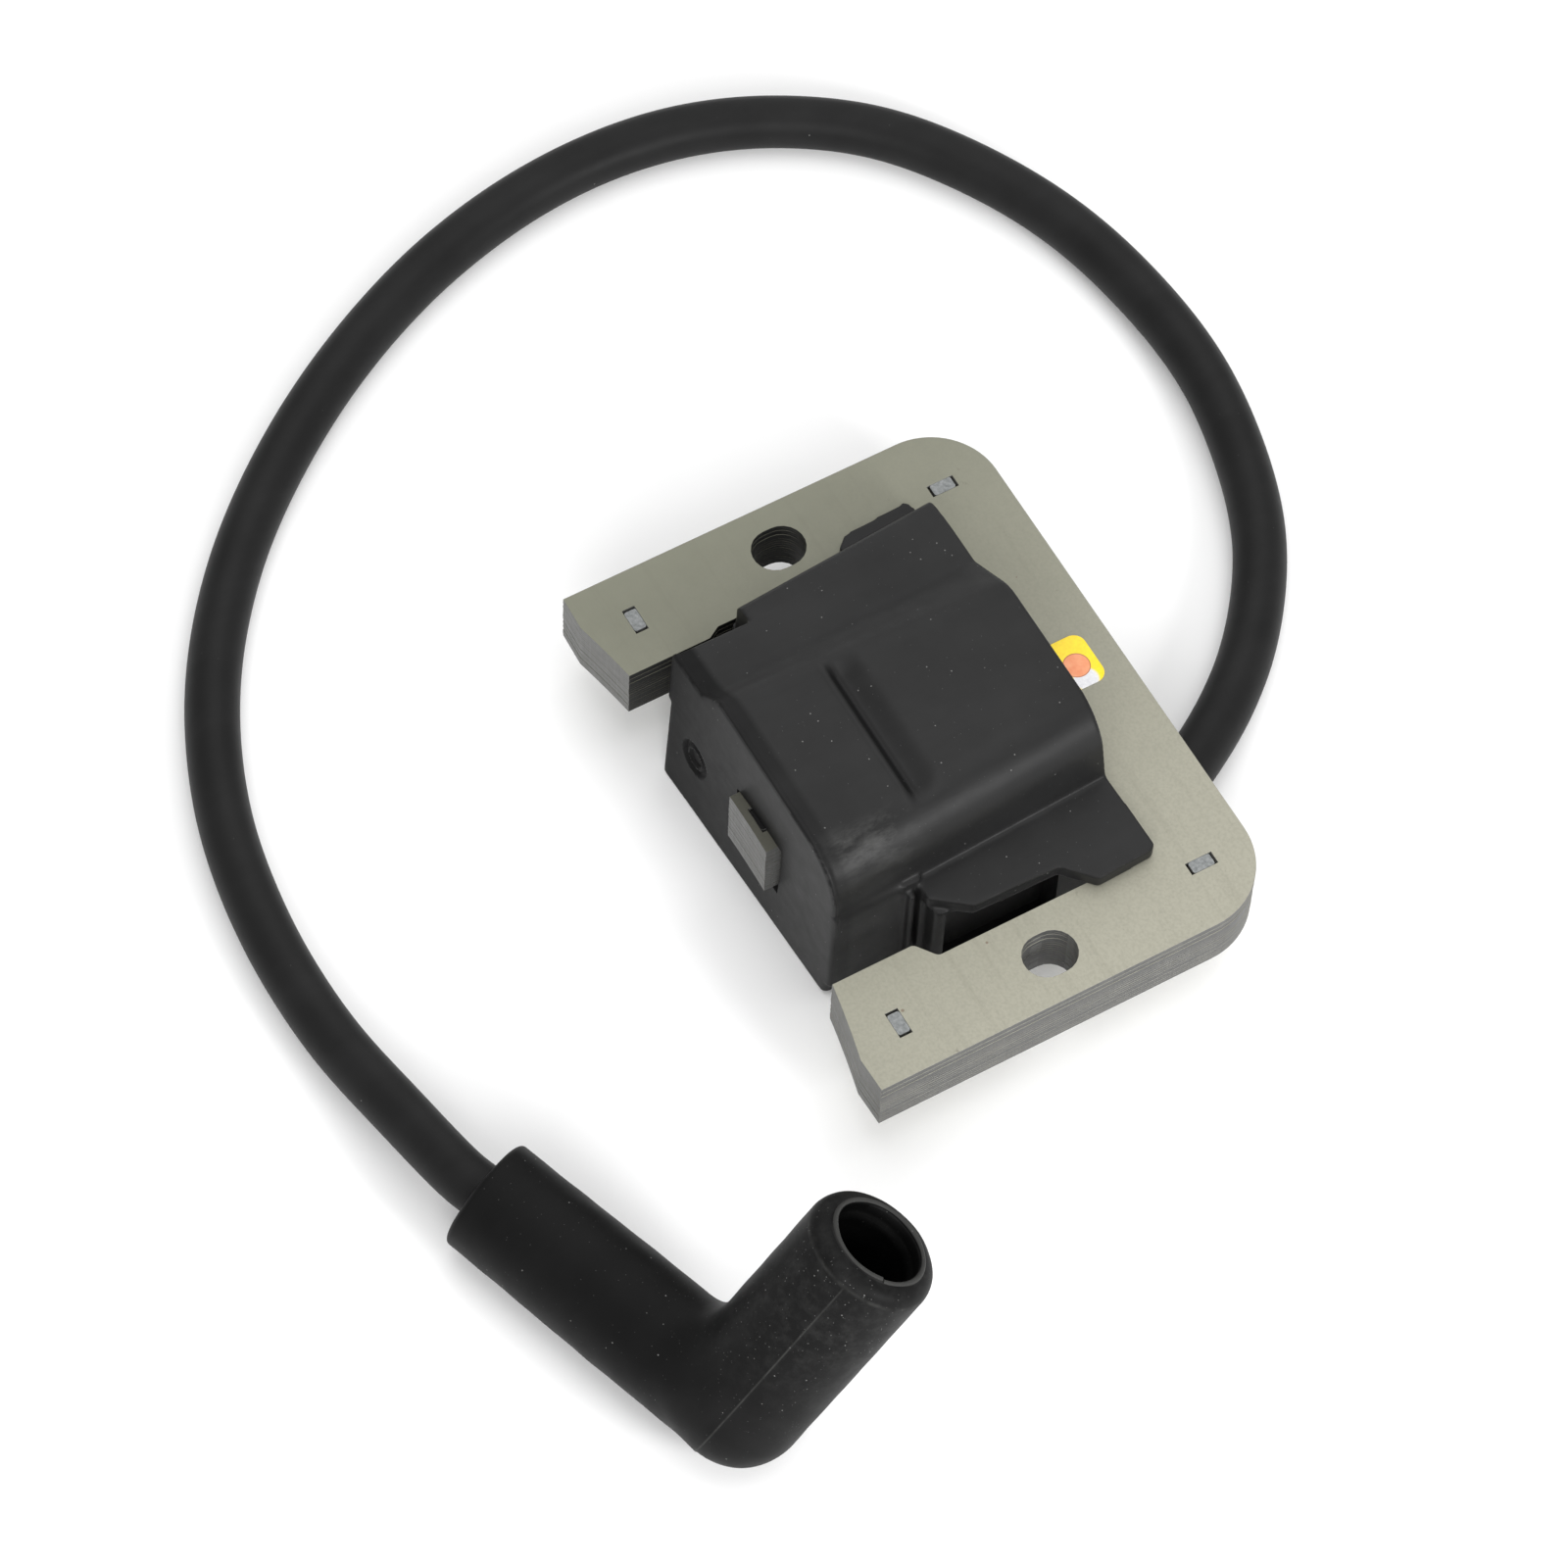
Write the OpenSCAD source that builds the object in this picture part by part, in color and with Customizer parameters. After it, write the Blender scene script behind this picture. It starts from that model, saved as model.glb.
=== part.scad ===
// Flywheel ignition coil of a small engine: a three-leg
// laminated core, a potted coil housing on its centre leg, and a
// high-tension lead that ends in an angled spark plug boot.
// X runs across the legs, Y from the poles (-) to the yoke (+), Z up.
// The module stands on the rim of its housing at z = 0.

/* [Core] */
// Overall width across the two outer legs
core_w = 79; // [78:0.5:80]
// Distance between the two mounting slots
slot_spacing = 66; // [65.5:0.5:66.5]
// Width of a mounting slot (clears an M5 screw)
slot_w = 6; // [5.4:0.1:6.2]
// End to end length of a mounting slot (air gap adjustment)
slot_l = 7.1; // [6.6:0.1:7.6]
// Thickness of one core sheet
sheet_t = 0.5; // [0.35:0.05:0.5]
// Radius of the flywheel that the pole faces follow
pole_r = 145; // [130:5:160]
// Width of the centre bar
bar_w = 9; // [8.6:0.1:9.2]

/* [Housing] */
// Wall of the moulded housing
wall = 1.6; // [1.4:0.1:1.8]
// Height of the core's underside above the housing rim
core_z = 8; // [7.8:0.1:8]
// Depth of the potting surface inside the rim
pot_drop = 0.8; // [0.5:0.1:1.2]

/* [Lead and boot] */
// Diameter of the high-tension lead
lead_d = 7; // [6.8:0.1:7]
// Diameter of the boot's cable arm
cable_arm_d = 15; // [14.4:0.1:15.2]
// Diameter of the boot's plug arm
plug_arm_d = 16.8; // [16.2:0.1:17]
// Bore of the plug arm
plug_bore_d = 11.4; // [11:0.1:11.8]
// Length of the plug arm from the elbow to its mouth
plug_arm_l = 31.3; // [30.3:0.1:32.3]
// Tilt of the plug arm above the surface
plug_arm_tilt = 56; // [50:1:60]
// Heading of the plug arm, from the X axis
plug_arm_heading = 87; // [82:1:92]

/* [Hidden] */
$fn = 64;

hw = core_w / 2;            // half width of the core
core_top = core_z + 8.5;    // top of the 17-sheet stack, 0.5 mm sheets
bar_z0 = core_z - 0.5;      // the centre bar is two sheets thicker
bar_z1 = core_top + 0.5;
slot_y = -1.3;              // the slots sit just behind the middle
yoke_y = 28.65;             // back edge of the yoke
yoke_in = 16.2;             // inner edge of the yoke
win_l = -26.6;              // window edges behind the step
win_r = 26.7;
pole_c = -24.45 - pole_r;   // centre of the flywheel, on the Y axis
house_f = -22.9;            // top edge of the front face
draft = 0.8;                // how far the walls lean out down to the rim
house_b = 16;               // back wall under the yoke
bar_x = 0.03;
bar_zc = (bar_z0 + bar_z1) / 2;

// ---- helpers -------------------------------------------------------
// a profile in x and z, drawn from y0 to y1
module yex(y0, y1)
  translate([0, y1, 0]) rotate([90, 0, 0]) linear_extrude(y1 - y0) children();
// rectangle with true round corners, centred
module rrect(w, h, r) {
  square([w - 2 * r, h], center = true);
  square([w, h - 2 * r], center = true);
  for (i = [-1, 1], j = [-1, 1])
    translate([i * (w / 2 - r), j * (h / 2 - r)]) circle(r);
}
// block between two corners with round vertical edges
module rblock(a, b, r)
  translate([(a[0] + b[0]) / 2, (a[1] + b[1]) / 2, a[2]])
    linear_extrude(b[2] - a[2]) rrect(b[0] - a[0], b[1] - a[1], r);
module block(a, b) translate(a) cube(b - a);
// a ring round the centre bar, w by h outside, iw by ih inside
module coil_ring(y0, y1, w, h, r, iw, ih, ir)
  translate([bar_x, 0, bar_zc]) difference() {
    yex(y0, y1) rrect(w, h, r);
    yex(y0 - 1, y1 + 1) rrect(iw, ih, ir);
  }
// point +Z along d from p
module along(p, d)
  translate(p) rotate([0, acos(d[2] / norm(d)), atan2(d[1], d[0])]) children();
function unit(v) = v / norm(v);
// Catmull-Rom point of a route at segment i, fraction t
function cr(p, i, t) = let (
    n = len(p), a = p[max(i - 1, 0)], b = p[i], c = p[min(i + 1, n - 1)],
    d = p[min(i + 2, n - 1)])
  0.5 * (2 * b + (c - a) * t + (2 * a - 5 * b + 4 * c - d) * t * t
    + (3 * b - 3 * c + d - a) * t * t * t);
function route(p, k) = concat(
  [for (i = [0:len(p) - 2], j = [0:k - 1]) cr(p, i, j / k)], [p[len(p) - 1]]);
// ring of m points round q[i], square to the route
function ring(q, i, r, m) = let (
    n = len(q), t = unit(q[min(i + 1, n - 1)] - q[max(i - 1, 0)]),
    s = unit(cross(abs(t[2]) > 0.98 ? [0, 1, 0] : [0, 0, 1], t)), u = cross(t, s))
  [for (a = [0:m - 1]) q[i] + r * (cos(360 * a / m) * s + sin(360 * a / m) * u)];
// solid tube along q
module rod(q, r, m) {
  n = len(q);
  polyhedron(
    [for (i = [0:n - 1]) each ring(q, i, r, m)],
    concat([[for (a = [0:m - 1]) a]],
      [for (i = [0:n - 2], a = [0:m - 1])
        [i * m + a, (i + 1) * m + a, (i + 1) * m + (a + 1) % m]],
      [for (i = [0:n - 2], a = [0:m - 1])
        [i * m + a, (i + 1) * m + (a + 1) % m, i * m + (a + 1) % m]],
      [[for (a = [m - 1:-1:0]) (n - 1) * m + a]]));
}
// hollow tube along q
module pipe(q, ro, ri, m) {
  n = len(q);
  o = n * m;
  polyhedron(
    concat([for (i = [0:n - 1]) each ring(q, i, ro, m)],
      [for (i = [0:n - 1]) each ring(q, i, ri, m)]),
    concat(
      [for (i = [0:n - 2], a = [0:m - 1])
        [i * m + a, (i + 1) * m + a, (i + 1) * m + (a + 1) % m, i * m + (a + 1) % m]],
      [for (i = [0:n - 2], a = [0:m - 1])
        [o + i * m + (a + 1) % m, o + (i + 1) * m + (a + 1) % m, o + (i + 1) * m + a, o + i * m + a]],
      [for (a = [0:m - 1]) [a, (a + 1) % m, o + (a + 1) % m, o + a]],
      [for (a = [0:m - 1])
        [(n - 1) * m + (a + 1) % m, (n - 1) * m + a, o + (n - 1) * m + a, o + (n - 1) * m + (a + 1) % m]]));
}

// ---- core ----------------------------------------------------------
module slot2d(x) translate([x, slot_y]) {
  square([slot_w, slot_l - slot_w], center = true);
  for (s = [-1, 1]) translate([0, s * (slot_l - slot_w) / 2]) circle(slot_w / 2);
}
module core_outline() {
  rc = 9;
  difference() {
    union() {
      translate([-hw, -28.64]) square([core_w, yoke_y - rc + 28.64]);
      translate([-hw + rc, 10]) square([core_w - 2 * rc, yoke_y - 10]);
      for (s = [-1, 1]) translate([s * (hw - rc), yoke_y - rc]) circle(rc);
    }
    // window for the housing, with the stepped leg edges
    polygon([[-25.6, -40], [24, -40], [24, -15.6], [24.3, -14.9], [26.2, -13.9],
      [win_r, -13], [win_r, yoke_in], [win_l, yoke_in], [win_l, -13.4],
      [-26.4, -14.2], [-25.8, -14.9], [-25.6, -15.6]]);
    // outer corners of the pole ends
    for (s = [-1, 1])
      polygon([[s * 34.6, -28.64], [s * 39.6, -28.48], [s * 39.6, -29], [s * 34.6, -29]]);
    slot2d(-slot_spacing / 2);
    slot2d(slot_spacing / 2);
  }
}
module interlock(x, y, a)
  translate([x, y, core_top - 0.3]) rotate(a)
    translate([-1.95, -0.9, 0]) cube([3.9, 1.8, 1]);
module core_frame() {
  color([0.62, 0.62, 0.55]) difference() {
    translate([0, 0, core_z]) linear_extrude(core_top - core_z) core_outline();
    translate([0, pole_c, core_z - 1]) cylinder(h = 12, r = pole_r, $fn = 360);
    interlock(-32.4, -22.1, 0);
    interlock(32.4, -22.1, 0);
    interlock(-31.1, 21.3, 90);
    interlock(31.1, 21.3, 90);
  }
}
module core_centre_bar() {
  color([0.55, 0.55, 0.52]) difference() {
    block([bar_x - bar_w / 2, -26, bar_z0], [bar_x + bar_w / 2, yoke_in, bar_z1]);
    translate([0, pole_c, 0]) cylinder(h = 40, r = pole_r, $fn = 360);
    translate([bar_x - 1.95, -23.6, bar_z1 - 0.3]) cube([3.9, 1.8, 1]);
  }
}

// ---- housing -------------------------------------------------------
// thin slab of a profile at one y, for hulls from front to back
module slab(y, pts) yex(y - 0.005, y + 0.005) polygon(pts);
zt = 16.5;
shelf_f = [[-21.5, zt], [-21.5, zt + 7.4], [-20.9, zt + 8.1], [-12, zt + 8.7], [-10, zt + 8.7], [-10, zt]];
shelf_m = [[-24.6, zt], [-24.6, zt + 4.8], [-23.8, zt + 6.6], [-22.2, zt + 7.7], [-12, zt + 8.1], [-10, zt + 8.1], [-10, zt]];
shelf_b = [[-27.6, zt], [-27.3, zt + 4.4], [-26.5, zt + 5.8], [-24.2, zt + 6.8], [-12, zt + 7.1], [-10, zt + 7.1], [-10, zt]];
dome_f = [[-12.7, zt], [-12.7, zt + 9.6], [-12.1, zt + 10.8], [-10.9, zt + 11.6], [-8, zt + 12],
  [8.5, zt + 12.1], [11.5, zt + 11.9], [13.8, zt + 11.2], [16, zt + 9.9], [17.7, zt + 8.2], [18.6, zt + 6.4], [18.9, zt + 4.5], [18.9, zt]];
dome_b = [[-15.6, zt], [-15.4, zt + 7], [-14, zt + 8.6], [-11.6, zt + 10.2], [-9, zt + 11.3], [-6.1, zt + 12], [-1, zt + 12.35],
  [3.3, zt + 12.4], [7, zt + 12.35], [8.9, zt + 12.1], [11.2, zt + 11.2], [13, zt + 9.8], [14.6, zt + 7.6], [15.6, zt + 5], [16.2, zt + 2.4], [16.6, zt]];
module housing_outside() difference() {
  housing_block();
  // moulding draft of the front face, and of the front part of the left wall
  translate([-60, house_f, 28.6]) rotate([-atan(draft / 28.6), 0, 0])
    translate([0, -20, -60]) cube([120, 20, 80]);
  translate([-21.5, -60, 24.6]) rotate([0, atan(0.75 / 24.6), 0])
    translate([-20, 0, -60]) cube([20, 47.7, 80]);
}
module housing_block() {
  // upper body: shelf and dome
  hull() { slab(house_f - 0.5, shelf_f); slab(-12.3, shelf_f); }
  hull() { slab(-12.3, shelf_m); slab(16.7, shelf_b); }
  hull() { slab(house_f - 0.5, dome_f); slab(16.7, dome_b); }
  // lower body through the window and down to the rim
  rblock([-22.3, house_f - draft - 0.3, 0], [18.9, house_b, core_top + 0.2], 1.2);
  rblock([-26, -12.3, 0], [-15, house_b, core_top + 0.2], 1.2);
  rblock([10, -10.8, 0], [22.3, house_b, core_top + 0.2], 1.2);
  // flange on the second leg
  translate([0, 0, core_top]) linear_extrude(2.3)
    polygon([[14, -10.6], [14, 16.6], [27, 16.9], [27.4, 16.1], [28, 8.5], [24.2, 5],
      [23.9, -6.7], [20.6, -11.1], [19, -11.2]]);
  // clip tab on the first leg
  translate([0, 0, core_top]) linear_extrude(2.1)
    polygon([[-24, 4.2], [-28.4, 4.7], [-29.7, 6.2], [-30.3, 15.4], [-28.6, 15.9], [-24, 15.9]]);
  // collar of the high-tension lead
  block([10.8, 12, 0], [20.2, 18.5, 7.8]);
  // twin ribs on the side wall
  for (y = [-12.4, -10.9]) block([18, y - 0.45, 9], [19.4, y + 0.45, core_top + 3]);
}
module cavity(z0) {
  block([-21.6 + wall, house_f + wall, z0], [-13, house_b - wall, 21.6]);
  block([-13, house_f + wall, z0], [11, house_b - wall, 23.4]);
  block([-9.5, house_f + wall, z0], [9.5, house_b - wall, 26.4]);
  block([11, house_f + wall, z0], [13.8, house_b - wall, 21.4]);
  block([13.8, house_f + wall, z0], [18.9 - wall, house_b - wall, 15]);
  block([-26 + wall, -12.3 + wall, z0], [-20, house_b - wall, 19.8]);
}
module kill_slot(c) block([-20.5 - c, 9, 3.6 - c], [-14.2 + c, 20, 4.4 + c]);
module coil_housing() {
  color([0.2, 0.2, 0.2]) difference() {
    housing_outside();
    cavity(-1);
    // window of the centre bar, a little wider than the bar
    block([-4.9, house_f - 1, bar_z0 - 0.15], [5.5, house_f + 3, bar_z1 + 0.15]);
    block([bar_x - bar_w / 2 - 0.05, house_b - 3, bar_z0 - 0.05],
      [bar_x + bar_w / 2 + 0.05, house_b + 2, bar_z1 + 0.05]);
    // stepped pad on top, lower behind its edge
    yex(-8.9, -7.9) polygon([[-9.5, 40], [-9.5, 28.15], [12, 28.15], [12, 40]]);
    // plain round dimple in the front face
    translate([-14.2, house_f + 0.3, 11]) rotate([90, 0, 0]) cylinder(h = 2, r = 2.75);
    // bore of the lead
    translate([15.5, 30, 4]) rotate([90, 0, 0]) cylinder(h = 23.1, r = lead_d / 2 + 0.15);
    kill_slot(0.05);
    // slot of the ground strap
    block([-27, 1.9, 10.9], [-23, 2.6, 14.1]);
    // relief of the strap's pad beside the leg
    block([-27, -0.6, 10.9], [-25.95, 5.1, 14.1]);
  }
}
module potting_compound() {
  color([0.13, 0.13, 0.13]) difference() {
    cavity(pot_drop);
    // space of the windings
    translate([bar_x, 0, bar_zc]) yex(-20.8, 14.2) rrect(21.8, 21.4, 1.6);
    // ends of the centre bar
    block([-5, -30, bar_z0 - 0.2], [5.6, 30, bar_z1 + 0.2]);
    // space of the circuit board and its parts
    block([-24.1, -10.5, 1.9], [-14, 13.7, 18.2]);
    kill_slot(0.05);
    translate([15.5, 30, 4]) rotate([90, 0, 0]) cylinder(h = 23.1, r = lead_d / 2 + 0.15);
    translate([15.5, 10, 4]) rotate([90, 0, 0]) cylinder(h = 7.2, r = 0.6);
    block([10, 2.9, 3.1], [16.3, 3.8, 4.9]);
    for (w = lead_rows) translate([-16, w[0], w[1]]) rotate([0, 90, 0]) cylinder(h = 8, r = 0.3, $fn = 16);
    block([-27, 1.9, 10.9], [-23, 2.6, 14.1]);
  }
}

// ---- coils on the centre bar ----------------------------------------
module input_coil_bobbin() {
  color([0.85, 0.83, 0.74]) {
    coil_ring(-20.5, -6.4, 11.3, 11.8, 1, 9.4, 9.9, 0.3);
    for (y = [-20.5, -10.7, -7.2]) coil_ring(y, y + 0.8, 20, 20, 1.6, 11.3, 11.8, 1);
  }
}
module input_coil_winding()
  color([0.72, 0.36, 0.16]) coil_ring(-19.7, -10.7, 17.6, 18, 3, 11.3, 11.8, 1);
module trigger_coil_winding()
  color([0.66, 0.26, 0.14]) coil_ring(-9.9, -7.2, 14.6, 15, 2, 11.3, 11.8, 1);
module primary_bobbin() {
  color([0.85, 0.83, 0.74]) {
    coil_ring(-6, 14, 11.3, 11.8, 1, 9.4, 9.9, 0.3);
    for (y = [-6, 13.2]) coil_ring(y, y + 0.8, 14, 14.4, 1, 11.3, 11.8, 1);
  }
}
module primary_winding()
  color([0.72, 0.36, 0.16]) coil_ring(-5.2, 13.2, 13.6, 14, 1.8, 11.3, 11.8, 1);
sec_y = [-5.8, -2.04, 1.72, 5.48, 9.24, 13];
module secondary_bobbin() {
  color([0.9, 0.88, 0.8]) {
    coil_ring(-5.8, 13.8, 16, 16.4, 1.8, 14.2, 14.6, 1);
    for (y = sec_y) coil_ring(y, y + 0.8, 21.4, 21, 2, 16, 16.4, 1.8);
  }
}
module secondary_winding() {
  color([0.6, 0.24, 0.12]) for (i = [0:4])
    coil_ring(sec_y[i] + 0.8, sec_y[i + 1], 20.2, 20, 3, 16, 16.4, 1.8);
}
lead_rows = [[-10.15, 9, 12.8], [-10.15, 15, 12.8], [-4.4, 9, 12.7], [-4.4, 16, 12.7]];
module winding_leads() {
  color([0.75, 0.38, 0.16])
    for (w = lead_rows) translate([-22.8, w[0], w[1]]) rotate([0, 90, 0])
      cylinder(h = w[2], r = 0.2, $fn = 16);
}

// ---- electronics ----------------------------------------------------
module circuit_board() {
  color([0.12, 0.38, 0.2]) difference() {
    block([-24, -10.4, 2], [-22.8, 13.5, 18]);
    for (y = [-3, 11], z = [9, 15])
      translate([-25, y, z]) rotate([0, 90, 0]) cylinder(h = 4, r = 0.45, $fn = 16);
  }
}
module storage_capacitor() {
  color([0.75, 0.15, 0.1]) translate([-22.8, 0, 0])
    translate([0, 4.25, 12]) rotate([0, 90, 0]) linear_extrude(8.6) rrect(12, 16.5, 1.2);
}
module silicon_switch() {
  color([0.1, 0.1, 0.11]) difference() {
    union() {
      translate([-20.4, -7, 8.2]) cylinder(h = 4.6, r = 2.3);
      for (y = [-8.27, -7, -5.73]) block([-22.8, y - 0.2, 9.3], [-22.3, y + 0.2, 9.8]);
    }
    block([-18.7, -10, 8], [-17.8, -4, 13]);
  }
}
module axial_part(z, r, l, y0) {
  translate([-21, y0 + l, z]) rotate([90, 0, 0]) cylinder(h = l, r = r);
  for (y = [y0 - 0.4, y0 + l]) {
    translate([-21, y + 0.4, z]) rotate([90, 0, 0]) cylinder(h = 0.4, r = 0.3, $fn = 16);
    translate([-22.8, y + 0.2, z]) rotate([0, 90, 0]) cylinder(h = 1.9, r = 0.3, $fn = 16);
  }
}
module rectifier_diodes() color([0.12, 0.12, 0.12]) {
  axial_part(15.2, 1.25, 3.9, -9.1);
  axial_part(5.6, 1.25, 3.9, -9.1);
}
module gate_resistors() color([0.62, 0.5, 0.34]) {
  axial_part(17.2, 0.65, 3.2, -8.8);
  axial_part(3.2, 0.65, 3.2, -8.8);
}
module ground_strap() {
  color([0.78, 0.78, 0.74]) {
    block([-26.3, 2, 11], [-24, 2.5, 14]);
    block([-26.6, -0.5, 11], [-26.2, 5, 14]);
  }
}
module kill_terminal() {
  color([0.8, 0.74, 0.5]) difference() {
    union() {
      block([-20.5, 9, 3.6], [-14.2, 24, 4.4]);
      block([-22.8, 9, 3.6], [-20.5, 12, 4.4]);
    }
    translate([-17.35, 21.4, 3]) cylinder(h = 3, r = 0.85);
    for (s = [-1, 1]) translate([-17.35 + s * 3.15, 24, 4]) rotate(45) cube([1, 1, 4], center = true);
  }
}
module ht_contact_pin() {
  color([0.8, 0.74, 0.5]) {
    translate([15.5, 9.4, 4]) rotate([90, 0, 0]) cylinder(h = 6.2, r = 0.5);
    block([10.75, 3, 3.2], [16.2, 3.6, 4.8]);
  }
}

// ---- high-tension lead ----------------------------------------------
boot_e = [24.8, -74.2, 7.6];     // where the lead enters the boot
boot_j = [63.1, -61.5, 8.55];    // elbow of the boot
c_dir = unit(boot_j - boot_e);   // along the cable arm
a_dir = [cos(plug_arm_tilt) * cos(plug_arm_heading),
  cos(plug_arm_tilt) * sin(plug_arm_heading), sin(plug_arm_tilt)];
lead_pts = concat([
  [15.5, 7, 4], [15.5, 13, 4], [15.5, 20, 4], [14, 29, 3.6],
  [8.5, 39, 3.5], [0.5, 48.5, 3.5], [-11, 57, 3.5], [-24, 62, 3.5],
  [-38.5, 64.5, 3.5], [-54, 63.5, 3.5], [-68, 60, 3.5], [-81, 53.5, 3.5],
  [-91.5, 45, 3.5], [-99.5, 32.5, 3.5], [-103.5, 18.5, 3.5], [-103.5, 2.5, 3.5],
  [-99.5, -14.5, 3.5], [-92, -31, 3.5], [-82, -46, 3.5], [-70, -59, 3.5],
  [-55.5, -69.5, 3.5], [-39, -76.5, 3.5], [-22, -79.5, 3.5], [-5.5, -79.5, 4],
  [9, -77.5, 5.7]],
  [for (s = [-5, 0, 8, 15, 22]) boot_e + s * c_dir]);
lead_rings = route(lead_pts, 2);
module ht_lead_jacket() color([0.14, 0.14, 0.14]) pipe(lead_rings, lead_d / 2, 1.3, 10);
module ht_lead_conductor() {
  // bare strand: from the pin in the housing to the leg of the contact spring
  q = [for (i = [1:len(lead_rings) - 1]) i == 1 ? [15.5, 9.5, 4]
    : i == len(lead_rings) - 1 ? boot_e + 16.9 * c_dir : lead_rings[i]];
  color([0.76, 0.45, 0.25]) rod([for (i = [0:len(q) - 1]) if (i < len(q) - 2 || i == len(q) - 1) q[i]], 1, 8);
}

// ---- boot -----------------------------------------------------------
spring_top = 12.2;              // shoulder at the top of the spring chamber
spring_u = unit(c_dir - (c_dir * a_dir) * a_dir);
spring_v = cross(a_dir, spring_u);
function coil_pt(h, ang, r) = boot_j + h * a_dir + r * (cos(ang) * spring_u + sin(ang) * spring_v);
spring_pts = concat(
  [boot_j - 22.7 * c_dir, boot_j - 12 * c_dir, boot_j - 3.2 * c_dir,
    boot_j - 1.2 * c_dir + 0.5 * a_dir, boot_j - 0.4 * c_dir + 2 * a_dir],
  [for (k = [0:5]) coil_pt(3.6 + 0.55 * k, 180 + 40 * k, 0.7 + 0.52 * k)],
  [for (k = [1:60]) coil_pt(6.35 + 0.085 * k, 20 + 30 * k, 3.3)]);
module plug_contact_spring() color([0.7, 0.7, 0.68]) rod(spring_pts, 0.42, 6);
// arc in a turned profile, as short cones
function arc(cx, cz, r, a0, a1, n) =
  [for (k = [0:n]) [cx + r * cos(a0 + (a1 - a0) * k / n), cz + r * sin(a0 + (a1 - a0) * k / n)]];
module spark_plug_boot() {
  ro = plug_arm_d / 2;
  ri = plug_bore_d / 2;
  l = plug_arm_l;
  color([0.12, 0.12, 0.12]) difference() {
    union() {
      // plug arm with its domed elbow and round lip
      along(boot_j, a_dir) rotate_extrude() polygon(concat(
        [[0, l], [0, -ro]], arc(0, 0, ro, -84, 0, 12), arc(ro - 2.4, l - 2.4, 2.4, 6, 84, 4), [[ro - 2.4, l]]));
      along(boot_e, c_dir) cylinder(h = norm(boot_j - boot_e), r = cable_arm_d / 2);
    }
    // plug bore, the chamber of the contact spring and the elbow passage
    along(boot_j, a_dir) rotate_extrude() polygon(concat(
      [[0, -2.6]], arc(0, 0, 2.6, -80, 0, 6), [[2.6, 3], [4.2, 3], [4.2, spring_top],
        [ri, spring_top], [ri, l - 0.8], [ri + 0.8, l], [ri + 0.8, l + 1], [0, l + 1]]));
    // bore of the lead
    along(boot_e - c_dir, c_dir) cylinder(h = 24.5, r = lead_d / 2 + 0.05);
    along(boot_e + 20 * c_dir, c_dir) cylinder(h = norm(boot_j - boot_e) - 20, r = 2.3);
  }
}

module inspection_sticker()
  color([1, 0.87, 0.1]) translate([-0.8, 21.6, core_top]) linear_extrude(0.1) rrect(7.4, 7.2, 1.6);

core_frame();
core_centre_bar();
coil_housing();
potting_compound();
input_coil_bobbin();
input_coil_winding();
trigger_coil_winding();
primary_bobbin();
primary_winding();
secondary_bobbin();
secondary_winding();
winding_leads();
circuit_board();
storage_capacitor();
silicon_switch();
rectifier_diodes();
gate_resistors();
ground_strap();
kill_terminal();
ht_contact_pin();
ht_lead_jacket();
ht_lead_conductor();
plug_contact_spring();
spark_plug_boot();
inspection_sticker();
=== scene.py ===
# Looks of the ignition coil: Blender 4.5, metres, in the CAD frame.
import bpy, bmesh, json, math
import numpy as np
from mathutils import Vector, Matrix


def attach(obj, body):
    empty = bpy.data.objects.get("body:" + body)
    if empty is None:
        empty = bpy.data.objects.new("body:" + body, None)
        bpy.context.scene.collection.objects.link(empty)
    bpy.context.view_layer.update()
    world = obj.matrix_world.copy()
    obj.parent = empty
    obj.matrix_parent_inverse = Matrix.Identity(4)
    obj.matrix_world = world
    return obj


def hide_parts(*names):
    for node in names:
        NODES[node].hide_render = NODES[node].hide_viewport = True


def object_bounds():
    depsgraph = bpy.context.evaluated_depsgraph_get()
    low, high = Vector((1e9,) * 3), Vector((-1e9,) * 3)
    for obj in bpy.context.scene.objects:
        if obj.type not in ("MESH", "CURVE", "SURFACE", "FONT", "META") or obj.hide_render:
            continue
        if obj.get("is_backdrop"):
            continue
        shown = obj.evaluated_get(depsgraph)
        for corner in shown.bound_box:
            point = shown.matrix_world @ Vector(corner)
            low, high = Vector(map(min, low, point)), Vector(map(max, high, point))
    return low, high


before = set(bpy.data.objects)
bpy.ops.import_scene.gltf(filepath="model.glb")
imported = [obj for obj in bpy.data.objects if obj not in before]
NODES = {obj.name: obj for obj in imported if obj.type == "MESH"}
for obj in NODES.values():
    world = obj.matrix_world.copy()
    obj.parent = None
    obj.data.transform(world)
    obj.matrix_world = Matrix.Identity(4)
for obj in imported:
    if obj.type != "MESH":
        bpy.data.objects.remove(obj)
CAD_LOW, CAD_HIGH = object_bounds()
MM = 0.001
scene = bpy.context.scene
scene.view_settings.view_transform = "Standard"


def V(*a):
    return np.array(a, float)


def unit(v):
    v = np.array(v, float)
    return v / np.linalg.norm(v)


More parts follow.
